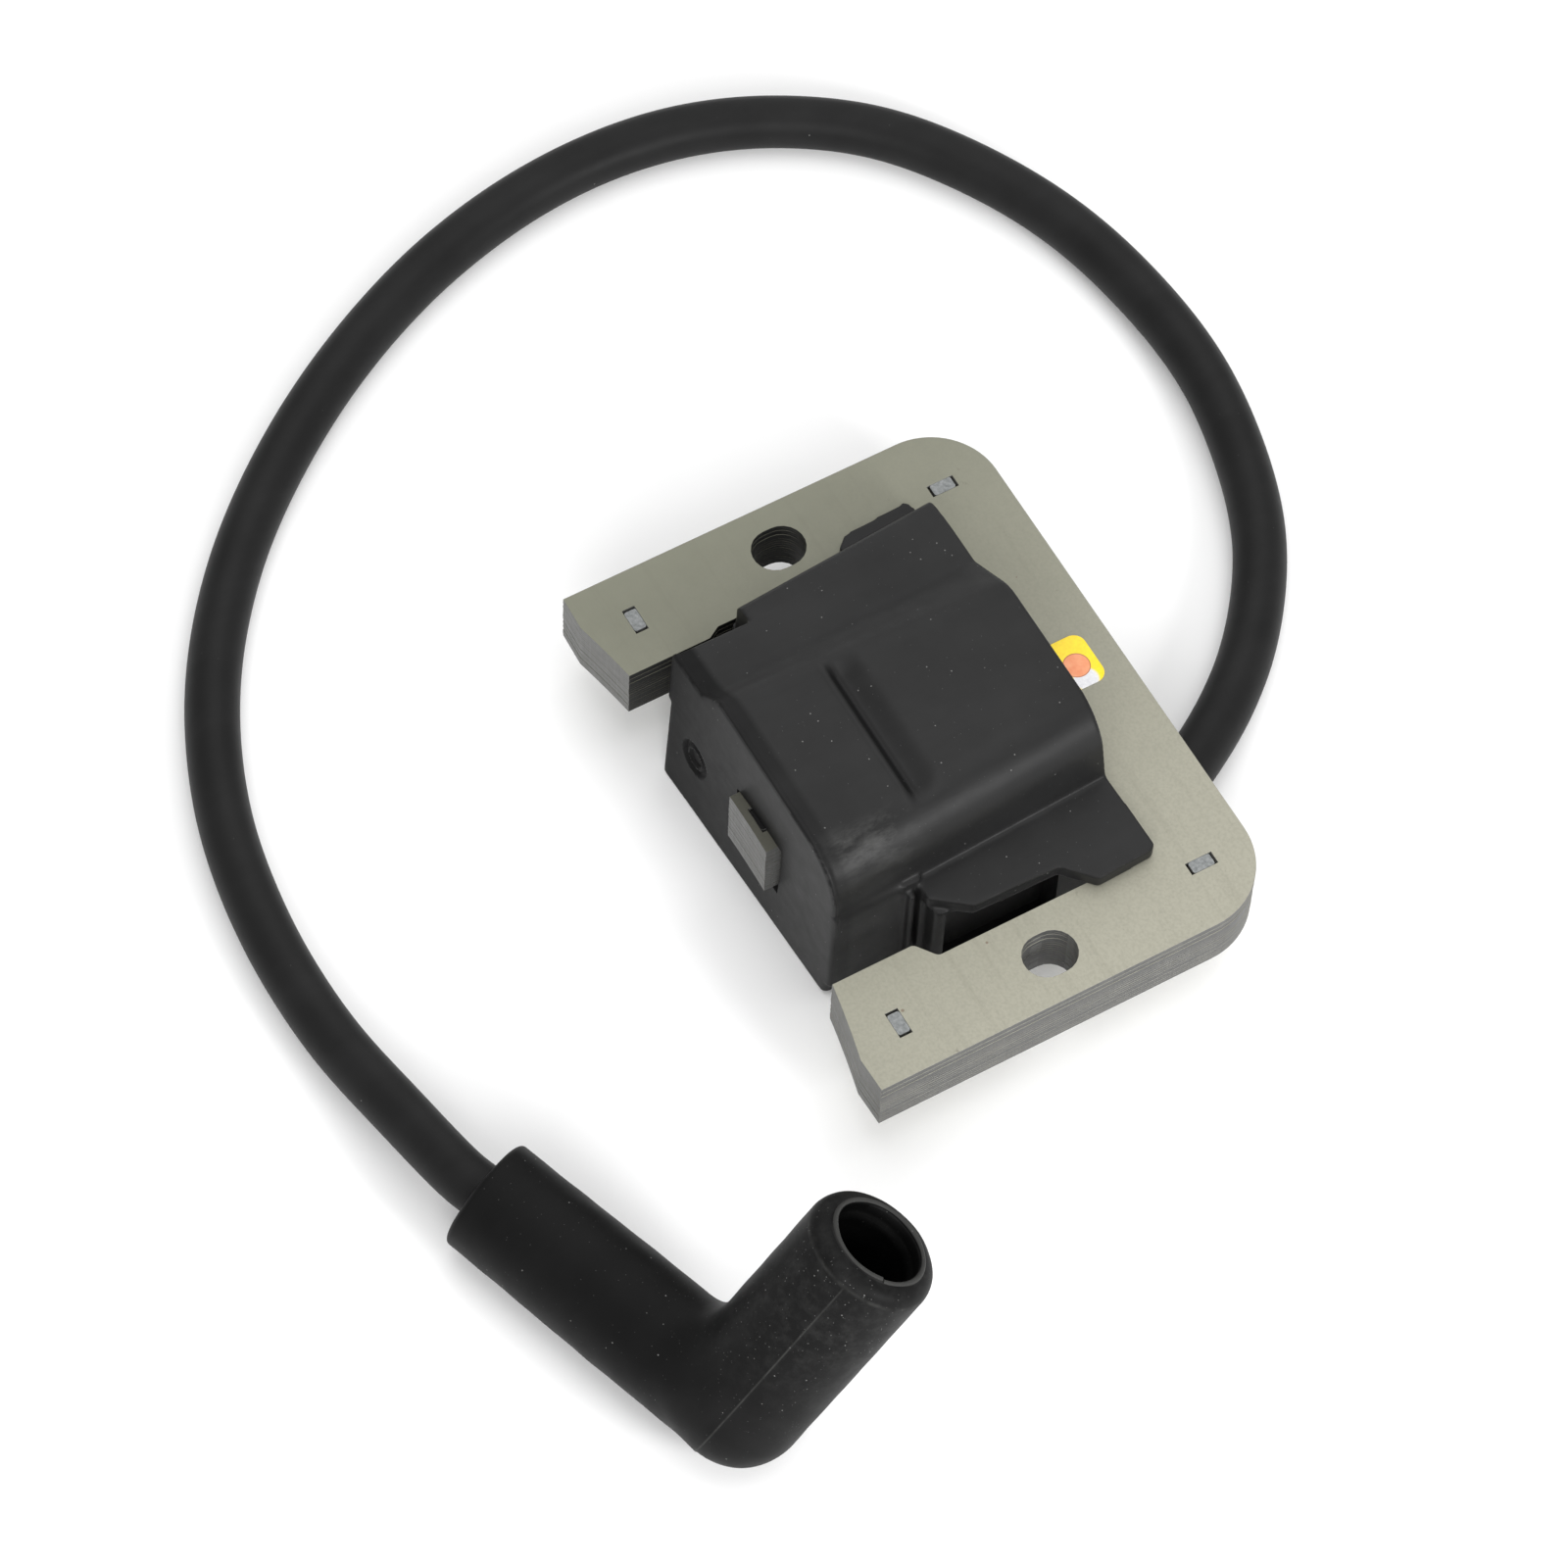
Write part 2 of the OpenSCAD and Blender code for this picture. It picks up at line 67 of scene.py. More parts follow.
# ------------------------------------------------------------ camera
def make_camera():
    az, el, roll = math.radians(57.431), math.radians(59.472), math.radians(3.27)
    target, dist = V(-3.044, -17.666, 16.5), 846.2
    d = V(math.cos(el) * math.sin(az), -math.cos(el) * math.cos(az), math.sin(el))
    fwd = -d
    right0 = unit(np.cross(fwd, V(0, 0, 1)))
    up0 = np.cross(right0, fwd)
    right = math.cos(roll) * right0 + math.sin(roll) * up0
    up = -math.sin(roll) * right0 + math.cos(roll) * up0
    pos = (target + d * dist) * MM
    cam = bpy.data.cameras.new("camera")
    cam.lens, cam.sensor_width = 159.08, 36.0
    cam.clip_start, cam.clip_end = 0.05, 10
    ob = bpy.data.objects.new("camera", cam)
    m = Matrix.Identity(4)
    for i in range(3):
        m[i][0], m[i][1], m[i][2], m[i][3] = right[i], up[i], -fwd[i], pos[i]
    ob.matrix_world = m
    scene.collection.objects.link(ob)
    scene.camera = ob
    return right, up, fwd


CAM_R, CAM_U, CAM_F = make_camera()


# ------------------------------------------------------------ materials
class Mat:
    """A node material built step by step on object coordinates."""

    def __init__(self, name, rough=0.5, metal=0.0, spec=0.5):
        self.m = bpy.data.materials.new(name)
        self.m.use_nodes = True
        self.t = self.m.node_tree
        self.b = self.t.nodes["Principled BSDF"]
        self.b.inputs["Roughness"].default_value = rough
        self.b.inputs["Metallic"].default_value = metal
        self.b.inputs["Specular IOR Level"].default_value = spec
        self.co = self.n("ShaderNodeTexCoord").outputs["Object"]
        self.normal = None

    def n(self, kind, **props):
        node = self.t.nodes.new(kind)
        for k, v in props.items():
            setattr(node, k, v)
        return node

    def link(self, a, b):
        self.t.links.new(a, b)

    def scaled(self, sx, sy=None, sz=None):
        mp = self.n("ShaderNodeMapping")
        mp.inputs["Scale"].default_value = (sx, sy if sy else sx, sz if sz else sx)
        self.link(self.co, mp.inputs["Vector"])
        return mp.outputs["Vector"]

    def noise(self, size_mm, detail=3, rough=0.55, vec=None):
        nz = self.n("ShaderNodeTexNoise")
        nz.inputs["Scale"].default_value = 1.0 if vec is not None else 1000.0 / size_mm
        nz.inputs["Detail"].default_value = detail
        nz.inputs["Roughness"].default_value = rough
        self.link(vec if vec is not None else self.co, nz.inputs["Vector"])
        return nz.outputs["Fac"]

    def ramp(self, fac, lo, hi, a=(0, 0, 0, 1), b=(1, 1, 1, 1)):
        r = self.n("ShaderNodeValToRGB")
        r.color_ramp.elements[0].position, r.color_ramp.elements[1].position = lo, hi
        r.color_ramp.elements[0].color, r.color_ramp.elements[1].color = a, b
        self.link(fac, r.inputs["Fac"])
        return r.outputs["Color"]

    def mix(self, fac, a, b, blend="MIX"):
        mx = self.n("ShaderNodeMix", data_type="RGBA", blend_type=blend)
        if isinstance(fac, (int, float)):
            mx.inputs[0].default_value = fac
        else:
            self.link(fac, mx.inputs[0])
        for sock, v in ((mx.inputs[6], a), (mx.inputs[7], b)):
            if isinstance(v, tuple):
                sock.default_value = v if len(v) == 4 else (*v, 1)
            else:
                self.link(v, sock)
        return mx.outputs[2]

    def math(self, op, a, b=None, clamp=False):
        mt = self.n("ShaderNodeMath", operation=op, use_clamp=clamp)
        for i, v in enumerate((a, b)):
            if v is None:
                continue
            if isinstance(v, (int, float)):
                mt.inputs[i].default_value = v
            else:
                self.link(v, mt.inputs[i])
        return mt.outputs[0]

    def bump(self, height, strength, dist_mm):
        bp = self.n("ShaderNodeBump")
        bp.inputs["Strength"].default_value = strength
        bp.inputs["Distance"].default_value = dist_mm * MM
        self.link(height, bp.inputs["Height"])
        if self.normal is not None:
            self.link(self.normal, bp.inputs["Normal"])
        self.normal = bp.outputs["Normal"]
        self.link(self.normal, self.b.inputs["Normal"])

    def colour(self, c):
        if isinstance(c, tuple):
            self.b.inputs["Base Color"].default_value = (*c, 1)
        else:
            self.link(c, self.b.inputs["Base Color"])

    def roughness(self, lo, hi, fac):
        mr = self.n("ShaderNodeMapRange")
        mr.inputs["To Min"].default_value, mr.inputs["To Max"].default_value = lo, hi
        self.link(fac, mr.inputs["Value"])
        self.link(mr.outputs["Result"], self.b.inputs["Roughness"])

    def along(self, origin_mm, direction):
        """Distance in metres along a direction, from a point given in mm."""
        sub = self.n("ShaderNodeVectorMath", operation="SUBTRACT")
        self.link(self.co, sub.inputs[0])
        sub.inputs[1].default_value = tuple(float(o) * MM for o in origin_mm)
        dt = self.n("ShaderNodeVectorMath", operation="DOT_PRODUCT")
        self.link(sub.outputs[0], dt.inputs[0])
        dt.inputs[1].default_value = tuple(float(v) for v in direction)
        return dt.outputs["Value"]

    def window(self, value, lo_mm, hi_mm, soft_mm):
        """1 where a length lies between two limits, with soft ends."""
        a = self.math("MULTIPLY", self.math("SUBTRACT", value, lo_mm * MM), 1 / (soft_mm * MM), clamp=True)
        b = self.math("MULTIPLY", self.math("SUBTRACT", hi_mm * MM, value), 1 / (soft_mm * MM), clamp=True)
        return self.math("MULTIPLY", a, b)

    def specks(self, cell_mm, radius, keep):
        """Mask of small separate grains: 1 on a grain."""
        vo = self.n("ShaderNodeTexVoronoi")
        vo.inputs["Scale"].default_value = 1000.0 / cell_mm
        self.link(self.co, vo.inputs["Vector"])
        near = self.math("LESS_THAN", vo.outputs["Distance"], radius)
        sep = self.n("ShaderNodeSeparateColor")
        self.link(vo.outputs["Color"], sep.inputs["Color"])
        few = self.math("LESS_THAN", sep.outputs[0], keep)
        return self.math("MULTIPLY", near, few)


def simple_mat(name, col, rough, metal=0.0, size=2.0, var=0.25, bump=0.15, spec=0.5, streak=None):
    m = Mat(name, rough, metal, spec)
    dark = tuple(c * (1 - var) for c in col)
    light = tuple(min(1, c * (1 + var)) for c in col)
    vec = m.scaled(*[1000.0 / s for s in streak]) if streak else None
    f = m.noise(size, 4, vec=vec)
    m.colour(m.ramp(f, 0.3, 0.7, (*dark, 1), (*light, 1)))
    m.roughness(max(0.05, rough - 0.1), min(1, rough + 0.1), m.noise(size * 0.6, 3))
    m.bump(m.noise(size * 0.25, 3) if not streak else f, bump, 0.05)
    return m.m


def core_material():
    m = Mat("core_steel", 0.5, 0.25, 0.4)
    geo = m.n("ShaderNodeNewGeometry")
    sep = m.n("ShaderNodeSeparateXYZ")
    m.link(geo.outputs["Normal"], sep.inputs["Vector"])
    pos = m.n("ShaderNodeSeparateXYZ")
    m.link(m.co, pos.inputs["Vector"])
    flat = m.ramp(m.math("ABSOLUTE", sep.outputs["Z"]), 0.55, 0.85)
    # painted light falloff: the top is painted darker on the left leg and towards the front, lighter towards the right
    # leg; a real mottle lies over it
    painted_falloff = m.math("ADD", m.math("MULTIPLY", pos.outputs["X"], 1 / 0.08), 0.5)
    painted_falloff = m.math("ADD", painted_falloff, m.math("MULTIPLY", pos.outputs["Y"], 1 / 0.25))
    painted_falloff = m.math("ADD", painted_falloff, m.math("MULTIPLY", m.math("SUBTRACT", m.noise(22, 3), 0.5), 0.25), clamp=True)
    top = m.ramp(painted_falloff, 0.0, 1.0, (0.185, 0.187, 0.142, 1), (0.335, 0.325, 0.262, 1))
    fine = m.noise(0.4, 4)
    top = m.mix(m.ramp(fine, 0.4, 0.75, (0, 0, 0, 1), (0.3, 0.3, 0.3, 1)), top, (0.175, 0.175, 0.14, 1))
    streak = m.noise(1, 3, vec=m.scaled(1000 / 30.0, 1000 / 1.2, 1000 / 30.0))
    top = m.mix(m.ramp(streak, 0.55, 0.8, (0, 0, 0, 1), (0.22, 0.22, 0.22, 1)), top, (0.15, 0.145, 0.11, 1))
    stain = m.ramp(m.noise(3.2, 5, 0.7), 0.68, 0.76, (0, 0, 0, 1), (0.4, 0.4, 0.4, 1))
    top = m.mix(stain, top, (0.11, 0.09, 0.07, 1))
    rust = m.specks(3.1, 0.07, 0.2)
    top = m.mix(m.math("MULTIPLY", rust, 0.6), top, (0.13, 0.07, 0.045, 1))
    # tongues of the interlocks: fresh, bluish steel
    low = m.math("MULTIPLY", m.window(pos.outputs["Z"], 16.3, 16.475, 0.005), 1.0)
    low = m.math("MAXIMUM", low, m.window(pos.outputs["Z"], 16.7, 16.975, 0.005))
    top = m.mix(low, top, m.ramp(m.noise(0.5, 3), 0.3, 0.7, (0.14, 0.15, 0.15, 1), (0.27, 0.28, 0.28, 1)))
    # the centre bar is darker on top, and its interlock nearly black
    mid = m.math("LESS_THAN", m.math("ABSOLUTE", pos.outputs["X"]), 0.012)
    mid = m.math("MULTIPLY", mid, m.math("LESS_THAN", pos.outputs["Y"], 0.0))
    top = m.mix(m.math("MULTIPLY", mid, 0.6), top, (0.03, 0.03, 0.027, 1))
    top = m.mix(m.math("MULTIPLY", mid, low), top, (0.006, 0.006, 0.006, 1))
    # cut edges: grey, with faint drag marks of the punch
    side = m.mix(m.ramp(m.noise(1, 3, vec=m.scaled(1000 / 0.3, 1000 / 0.3, 1000 / 5.0)), 0.3, 0.7), (0.135, 0.135, 0.131, 1), (0.172, 0.172, 0.168, 1))
    # painted shade: the right leg's cut edges that face +X are darkened
    long = m.math("MULTIPLY", m.math("GREATER_THAN", sep.outputs["X"], 0.4), m.math("GREATER_THAN", pos.outputs["X"], 0.03))
    side = m.mix(m.math("MULTIPLY", long, 0.55), side, (0.035, 0.035, 0.034, 1))
    side = m.mix(m.ramp(m.noise(5, 4), 0.45, 0.75, (0, 0, 0, 1), (0.6, 0.6, 0.6, 1)), side, (0.125, 0.124, 0.115, 1))
    # the walls of the left slot and the left leg's inner side are coloured near black
    hx = m.along((-33, -1.3, 12), (1, 0, 0))
    hy = m.along((-33, -1.3, 12), (0, 1, 0))
    near = m.math("SQRT", m.math("ADD", m.math("MULTIPLY", hx, hx), m.math("MULTIPLY", hy, hy)))
    dark = m.math("LESS_THAN", near, 4.6 * MM)
    inner = m.math("MULTIPLY", m.math("GREATER_THAN", sep.outputs["X"], 0.4), m.window(pos.outputs["X"], -30, -20, 0.01))
    dark = m.math("MAXIMUM", dark, inner)
    side = m.mix(m.math("MULTIPLY", dark, 0.93), side, (0.012, 0.012, 0.012, 1))
    # the right slot's walls are darker too
    hx2 = m.along((33, -1.3, 12), (1, 0, 0))
    near2 = m.math("SQRT", m.math("ADD", m.math("MULTIPLY", hx2, hx2), m.math("MULTIPLY", hy, hy)))
    side = m.mix(m.math("MULTIPLY", m.math("LESS_THAN", near2, 4.6 * MM), 0.4), side, (0.05, 0.05, 0.05, 1))
    m.colour(m.mix(flat, side, top))
    m.roughness(0.42, 0.6, m.noise(1.4, 3))
    m.bump(m.noise(0.3, 4), 0.15, 0.02)
    return m.m


def plastic_material(name, base, r0, r1, spec, grit=0.0, extra=None, gloss=None):
    """Black moulded plastic or rubber: fine grain, dull flow marks, a few dust grains."""
    m = Mat(name, 0.45, 0, spec)
    col = m.ramp(m.noise(9, 4), 0.3, 0.72, (base * 0.85, base * 0.85, base * 0.86, 1), (base * 1.18, base * 1.18, base * 1.18, 1))
    flow = m.noise(1, 4, vec=m.scaled(1000 / 5.0, 1000 / 26.0, 1000 / 11.0))
    col = m.mix(m.ramp(flow, 0.45, 0.75, (0, 0, 0, 1), (0.5, 0.5, 0.5, 1)), col, (base * 1.5, base * 1.5, base * 1.53, 1))
    if grit:
        g = m.specks(1.5, 0.062, grit)
        col = m.mix(m.math("MULTIPLY", g, 0.85), col, (0.17, 0.17, 0.165, 1))
        g = m.specks(0.6, 0.09, grit * 0.6)
        col = m.mix(m.math("MULTIPLY", g, 0.5), col, (0.10, 0.10, 0.098, 1))
    if extra:
        col = extra(m, col)
    m.colour(col)
    if gloss:
        m.link(m.math("MULTIPLY", gloss(m), spec), m.b.inputs["Specular IOR Level"])
    m.roughness(r0, r1, m.noise(2.6, 4))
    m.bump(m.noise(0.3, 3), 0.16, 0.025)
    m.bump(m.noise(6.0, 3), 0.15, 0.1)
    return m.m


def housing_gloss(m):
    # the front face is duller towards its left end
    x, y = m.along((0, 0, 0), (1, 0, 0)), m.along((0, 0, 0), (0, 1, 0))
    front = m.window(y, -32, -20.0, 0.8)
    left = m.ramp(m.math("ADD", x, 0.022), 0.0, 0.038, (0.9, 0.9, 0.9, 1), (0.3, 0.3, 0.3, 1))
    return m.math("SUBTRACT", 1.0, m.math("MULTIPLY", front, left))


def housing_extra(m, col):
    # scuffed, duller patch on the shoulder, and painted shade on the floor of the groove
    x, y = m.along((0, 0, 0), (1, 0, 0)), m.along((0, 0, 0), (0, 1, 0))
    zone = m.math("MULTIPLY", m.window(x, 11.0, 17.5, 2.0), m.window(y, -23, -9, 4.0))
    rub = m.math("MULTIPLY", zone, m.ramp(m.noise(1, 5, 0.7, vec=m.scaled(1000 / 1.6, 1000 / 4.5, 1000 / 2.0)), 0.42, 0.72))
    col = m.mix(m.math("MULTIPLY", rub, 0.6), col, (0.075, 0.075, 0.073, 1))
    painted_groove_shade = m.math("MULTIPLY", m.window(y, -9.25, -7.45, 0.35), m.window(x, -10.0, 12.4, 1.5))
    return m.mix(m.math("MULTIPLY", painted_groove_shade, 0.8), col, (0.0025, 0.0025, 0.0025, 1))


def boot_extra(m, col):
    # parting line of the mould along the plug arm, and dust towards the mouth
    side = np.cross(A_DIR, ARM_W)
    off = m.math("ABSOLUTE", m.along(BOOT_J, side))
    h = m.along(BOOT_J, A_DIR)
    line = m.math("SUBTRACT", 1.0, m.math("MULTIPLY", off, 1 / (0.17 * MM)), clamp=True)
    line = m.math("MULTIPLY", line, m.window(h, -8.6, ARM_L - 2.0, 0.8))
    line = m.math("MULTIPLY", line, m.math("GREATER_THAN", m.along(BOOT_J, ARM_W), 0.0))
    line = m.math("MULTIPLY", line, m.ramp(m.noise(2.4, 3), 0.3, 0.6, (0.35, 0.35, 0.35, 1), (1, 1, 1, 1)))
    col = m.mix(m.math("MULTIPLY", line, 0.75), col, (0.05, 0.05, 0.048, 1))
    haze = m.math("MULTIPLY", m.window(h, 4.0, 40.0, 16.0), m.ramp(m.noise(1.6, 5, 0.7), 0.45, 0.75))
    col = m.mix(m.math("MULTIPLY", haze, 0.32), col, (0.045, 0.045, 0.044, 1))
    g = m.math("MULTIPLY", m.specks(0.55, 0.13, 0.34), m.window(h, 2.0, 40.0, 12.0))
    col = m.mix(m.math("MULTIPLY", g, 0.7), col, (0.13, 0.13, 0.126, 1))
    # painted highlight on the bead; dust and a painted highlight along the outer edge of the lip; painted shade in the
    # bore
    axial = m.math("MULTIPLY", h, h)
    vec = m.n("ShaderNodeVectorMath", operation="SUBTRACT")
    m.link(m.co, vec.inputs[0])
    vec.inputs[1].default_value = tuple(float(v) * MM for v in BOOT_J)
    ln = m.n("ShaderNodeVectorMath", operation="LENGTH")
    m.link(vec.outputs[0], ln.inputs[0])
    rho = m.math("SQRT", m.math("MAXIMUM", m.math("SUBTRACT", m.math("MULTIPLY", ln.outputs["Value"], ln.outputs["Value"]), axial), 0.0))
    bead = m.math("MULTIPLY", m.window(h, ARM_L - 0.05, ARM_L + 1, 0.1), m.window(rho, 5.4, 6.6, 0.1))
    col = m.mix(m.math("MULTIPLY", bead, 0.7), col, (0.05, 0.05, 0.048, 1))
    edge = m.math("MULTIPLY", m.window(h, ARM_L - 2.25, ARM_L - 1.55, 0.3), m.ramp(m.noise(2.0, 3), 0.35, 0.65))
    col = m.mix(m.math("MULTIPLY", edge, 0.5), col, (0.045, 0.045, 0.043, 1))
    painted_bore_shade = m.math("MULTIPLY", m.window(h, 2.0, ARM_L - 0.35, 0.2), m.math("LESS_THAN", rho, 5.85 * MM))
    return m.mix(m.math("MULTIPLY", painted_bore_shade, 0.9), col, (0.001, 0.001, 0.001, 1))


def sticker_material():
    m = Mat("sticker_vinyl", 0.32, 0, 0.5)
    sep = m.n("ShaderNodeSeparateXYZ")
    m.link(m.co, sep.inputs["Vector"])

    def disc(cx, cy, r, soft=0.05):
        dx = m.math("SUBTRACT", sep.outputs["X"], cx * MM)
        dy = m.math("SUBTRACT", sep.outputs["Y"], cy * MM)
        d = m.math("SQRT", m.math("ADD", m.math("MULTIPLY", dx, dx), m.math("MULTIPLY", dy, dy)))
        return m.math("MULTIPLY", m.math("SUBTRACT", r * MM, d), 1 / (soft * MM), clamp=True)

    grain = m.noise(0.35, 3)
    yellow = m.ramp(grain, 0.3, 0.7, (0.93, 0.66, 0.015, 1), (1.0, 0.76, 0.02, 1))
    white = m.ramp(grain, 0.3, 0.7, (0.66, 0.66, 0.69, 1), (0.78, 0.78, 0.80, 1))
    orange = m.ramp(m.noise(0.9, 3), 0.3, 0.7, (0.80, 0.26, 0.11, 1), (0.86, 0.36, 0.18, 1))
    col = m.mix(disc(1.9, 22.5, 1.75, 0.3), yellow, white)
    col = m.mix(disc(-0.35, 22.45, 1.78), col, (0.42, 0.13, 0.05, 1))
    col = m.mix(disc(-0.35, 22.45, 1.66), col, orange)
    m.colour(col)
    m.roughness(0.26, 0.42, m.noise(0.8, 3))
    m.bump(m.noise(1.5, 2), 0.15, 0.03)
    return m.m


def floor_material():
    m = Mat("floor_white", 0.75, 0, 0.2)
    m.colour(m.ramp(m.noise(60, 3), 0.3, 0.7, (0.955, 0.955, 0.955, 1), (0.975, 0.975, 0.975, 1)))
    return m.m


# ------------------------------------------------------------ mesh tools
def make(name, verts, faces, smooth=True):
    me = bpy.data.meshes.new(name)
    me.from_pydata([tuple(float(c) * MM for c in v) for v in verts], [], [tuple(f) for f in faces])
    me.validate()
    bm = bmesh.new()
    bm.from_mesh(me)
    bmesh.ops.recalc_face_normals(bm, faces=bm.faces)
    bm.to_mesh(me)
    bm.free()
    for p in me.polygons:
        p.use_smooth = smooth
    ob = bpy.data.objects.new(name, me)
    scene.collection.objects.link(ob)
    return ob


def join(name, obs):
    bm = bmesh.new()
    for o in obs:
        bm.from_mesh(o.data)
    me = bpy.data.meshes.new(name)
    bm.to_mesh(me)
    bm.free()
    for o in obs:
        bpy.data.objects.remove(o)
    ob = bpy.data.objects.new(name, me)
    scene.collection.objects.link(ob)
    return ob


def apply_mods(ob):
    bpy.context.view_layer.update()
    dg = bpy.context.evaluated_depsgraph_get()
    me = bpy.data.meshes.new_from_object(ob.evaluated_get(dg))
    old = ob.data
    ob.modifiers.clear()
    ob.data = me
    bpy.data.meshes.remove(old)
    return ob


def remesh(ob, voxel, smooth_n, factor=0.5):
    md = ob.modifiers.new("r", "REMESH")
    md.mode, md.voxel_size = "VOXEL", voxel * MM
    if smooth_n:
        s = ob.modifiers.new("s", "SMOOTH")
        s.iterations, s.factor = smooth_n, factor
    return apply_mods(ob)


def cut(ob, cutter, solver="EXACT"):
    md = ob.modifiers.new("b", "BOOLEAN")
    md.operation, md.object, md.solver = "DIFFERENCE", cutter, solver
    apply_mods(ob)
    bpy.data.objects.remove(cutter)
    return ob


def sharp_smooth(ob, deg=35):
    me = ob.data
    bm = bmesh.new()
    bm.from_mesh(me)
    for f in bm.faces:
        f.smooth = True
    lim = math.radians(deg)
    for e in bm.edges:
        e.smooth = not (len(e.link_faces) == 2 and e.calc_face_angle(0) > lim)
    bm.to_mesh(me)
    bm.free()


def rounded(pts, n=6):
    """2D outline with a radius on each corner given as (x, z, r)."""
    out = []
    k = len(pts)
    for i, p in enumerate(pts):
        r = p[2] if len(p) > 2 else 0
        c = V(p[0], p[1])
        if not r:
            out.append(c)
            continue
        a, b = V(*pts[i - 1][:2]) - c, V(*pts[(i + 1) % k][:2]) - c
        ua, ub = unit(a), unit(b)
        half = math.acos(max(-1, min(1, float(ua @ ub)))) / 2
        t = min(r / math.tan(half), 0.98 * np.linalg.norm(a), 0.98 * np.linalg.norm(b))
        rr = t * math.tan(half)
        cen = c + unit(ua + ub) * rr / math.sin(half)
        s, e = c + ua * t - cen, c + ub * t - cen
        a0, a1 = math.atan2(s[1], s[0]), math.atan2(e[1], e[0])
        da = (a1 - a0 + math.pi) % (2 * math.pi) - math.pi
        out += [cen + rr * V(math.cos(a0 + da * j / n), math.sin(a0 + da * j / n)) for j in range(n + 1)]
    return out


def loft(name, sections):
    """Closed solid through sections (y, outline) with equal counts, in x and z."""
    m = len(sections[0][1])
    verts = [(p[0], y, p[1]) for y, o in sections for p in o]
    faces = [(i * m + j, i * m + (j + 1) % m, (i + 1) * m + (j + 1) % m, (i + 1) * m + j) for i in range(len(sections) - 1) for j in range(m)]
    faces.append(tuple(range(m - 1, -1, -1)))
    faces.append(tuple((len(sections) - 1) * m + j for j in range(m)))
    return make(name, verts, faces)


def lerp_sections(a, b, y0, y1, n, n_arc=6, ease=None):
    out = []
    for i in range(n + 1):
        t = i / n
        w = ease(t) if ease else t
        pts = [tuple(p[k] * (1 - w) + q[k] * w for k in range(len(p))) for p, q in zip(a, b)]
        out.append((y0 + (y1 - y0) * t, rounded(pts, n_arc)))
    return out


def prism(name, outline, z0, z1):
    m = len(outline)
    verts = [(p[0], p[1], z) for z in (z0, z1) for p in outline]
    faces = [(j, (j + 1) % m, m + (j + 1) % m, m + j) for j in range(m)]
    faces += [tuple(range(m - 1, -1, -1)), tuple(range(m, 2 * m))]
    return make(name, verts, faces)


def box(name, a, b):
    return prism(name, [(a[0], a[1]), (b[0], a[1]), (b[0], b[1]), (a[0], b[1])], a[2], b[2])


def rbox(name, a, b, r, n=5):
    return prism(name, rounded([(a[0], a[1], r), (b[0], a[1], r), (b[0], b[1], r), (a[0], b[1], r)], n), a[2], b[2])


def turned(name, origin, axis, profile, seg=64):
    """Solid of revolution: profile is a closed outline from axis to axis, (radius, height)."""
    axis = unit(axis)
    u = unit(np.cross(axis, V(0, 0, 1) if abs(axis[2]) < 0.95 else V(0, 1, 0)))
    w = np.cross(axis, u)
    verts, rows = [], []
    for r, h in profile:
        if r < 1e-6:
            rows.append([len(verts)] * seg)
            verts.append(origin + axis * h)
        else:
            rows.append([len(verts) + j for j in range(seg)])
            verts += [origin + axis * h + r * (math.cos(2 * math.pi * j / seg) * u + math.sin(2 * math.pi * j / seg) * w) for j in range(seg)]
    faces = []
    for a, b in zip(rows, rows[1:]):
        for j in range(seg):
            f = [a[j], a[(j + 1) % seg], b[(j + 1) % seg], b[j]]
            g = []
            for v in f:
                if v not in g:
                    g.append(v)
            if len(g) > 2:
                faces.append(g)
    return make(name, verts, faces)


def arc(cx, cz, r, a0, a1, n):
    return [(cx + r * math.cos(math.radians(a0 + (a1 - a0) * k / n)), cz + r * math.sin(math.radians(a0 + (a1 - a0) * k / n))) for k in range(n + 1)]


# ------------------------------------------------------------ lead
BOOT_E, BOOT_J = V(24.8, -74.2, 7.6), V(63.1, -61.5, 8.55)
C_DIR = unit(BOOT_J - BOOT_E)
TILT, HEAD, ARM_L = math.radians(56), math.radians(87), 31.3
A_DIR = V(math.cos(TILT) * math.cos(HEAD), math.cos(TILT) * math.sin(HEAD), math.sin(TILT))
ARM_W = unit(-CAM_F + (CAM_F @ A_DIR) * A_DIR)     # across the plug arm, towards the front of the part
SLEEVE_W = unit(-CAM_F + (CAM_F @ C_DIR) * C_DIR)
LEAD = [(15.5, 16.8, 4), (15.5, 20, 4), (14, 29, 3.6), (8.5, 39, 3.5), (0.5, 48.5, 3.5), (-11, 57, 3.5),
        (-24, 62, 3.5), (-38.5, 64.5, 3.5), (-54, 63.5, 3.5), (-68, 60, 3.5), (-81, 53.5, 3.5),
        (-91.5, 45, 3.5), (-99.5, 32.5, 3.5), (-103.5, 18.5, 3.5), (-103.5, 2.5, 3.5),
        (-99.5, -14.5, 3.5), (-92, -31, 3.5), (-82, -46, 3.5), (-70, -59, 3.5), (-55.5, -69.5, 3.5),
        (-39, -76.5, 3.5), (-22, -79.5, 3.5), (-5.5, -79.5, 4), (9, -77.5, 5.7)]
LEAD = [V(*p) for p in LEAD] + [BOOT_E + s * C_DIR for s in (-5, 0, 8, 15, 22)]


def catmull(pts, k):
    out, n = [], len(pts)
    for i in range(n - 1):
        a, b, c, d = pts[max(i - 1, 0)], pts[i], pts[i + 1], pts[min(i + 2, n - 1)]
        for j in range(k):
            t = j / k
            out.append(0.5 * (2 * b + (c - a) * t + (2 * a - 5 * b + 4 * c - d) * t * t + (3 * b - 3 * c + d - a) * t ** 3))
    return out + [pts[-1]]


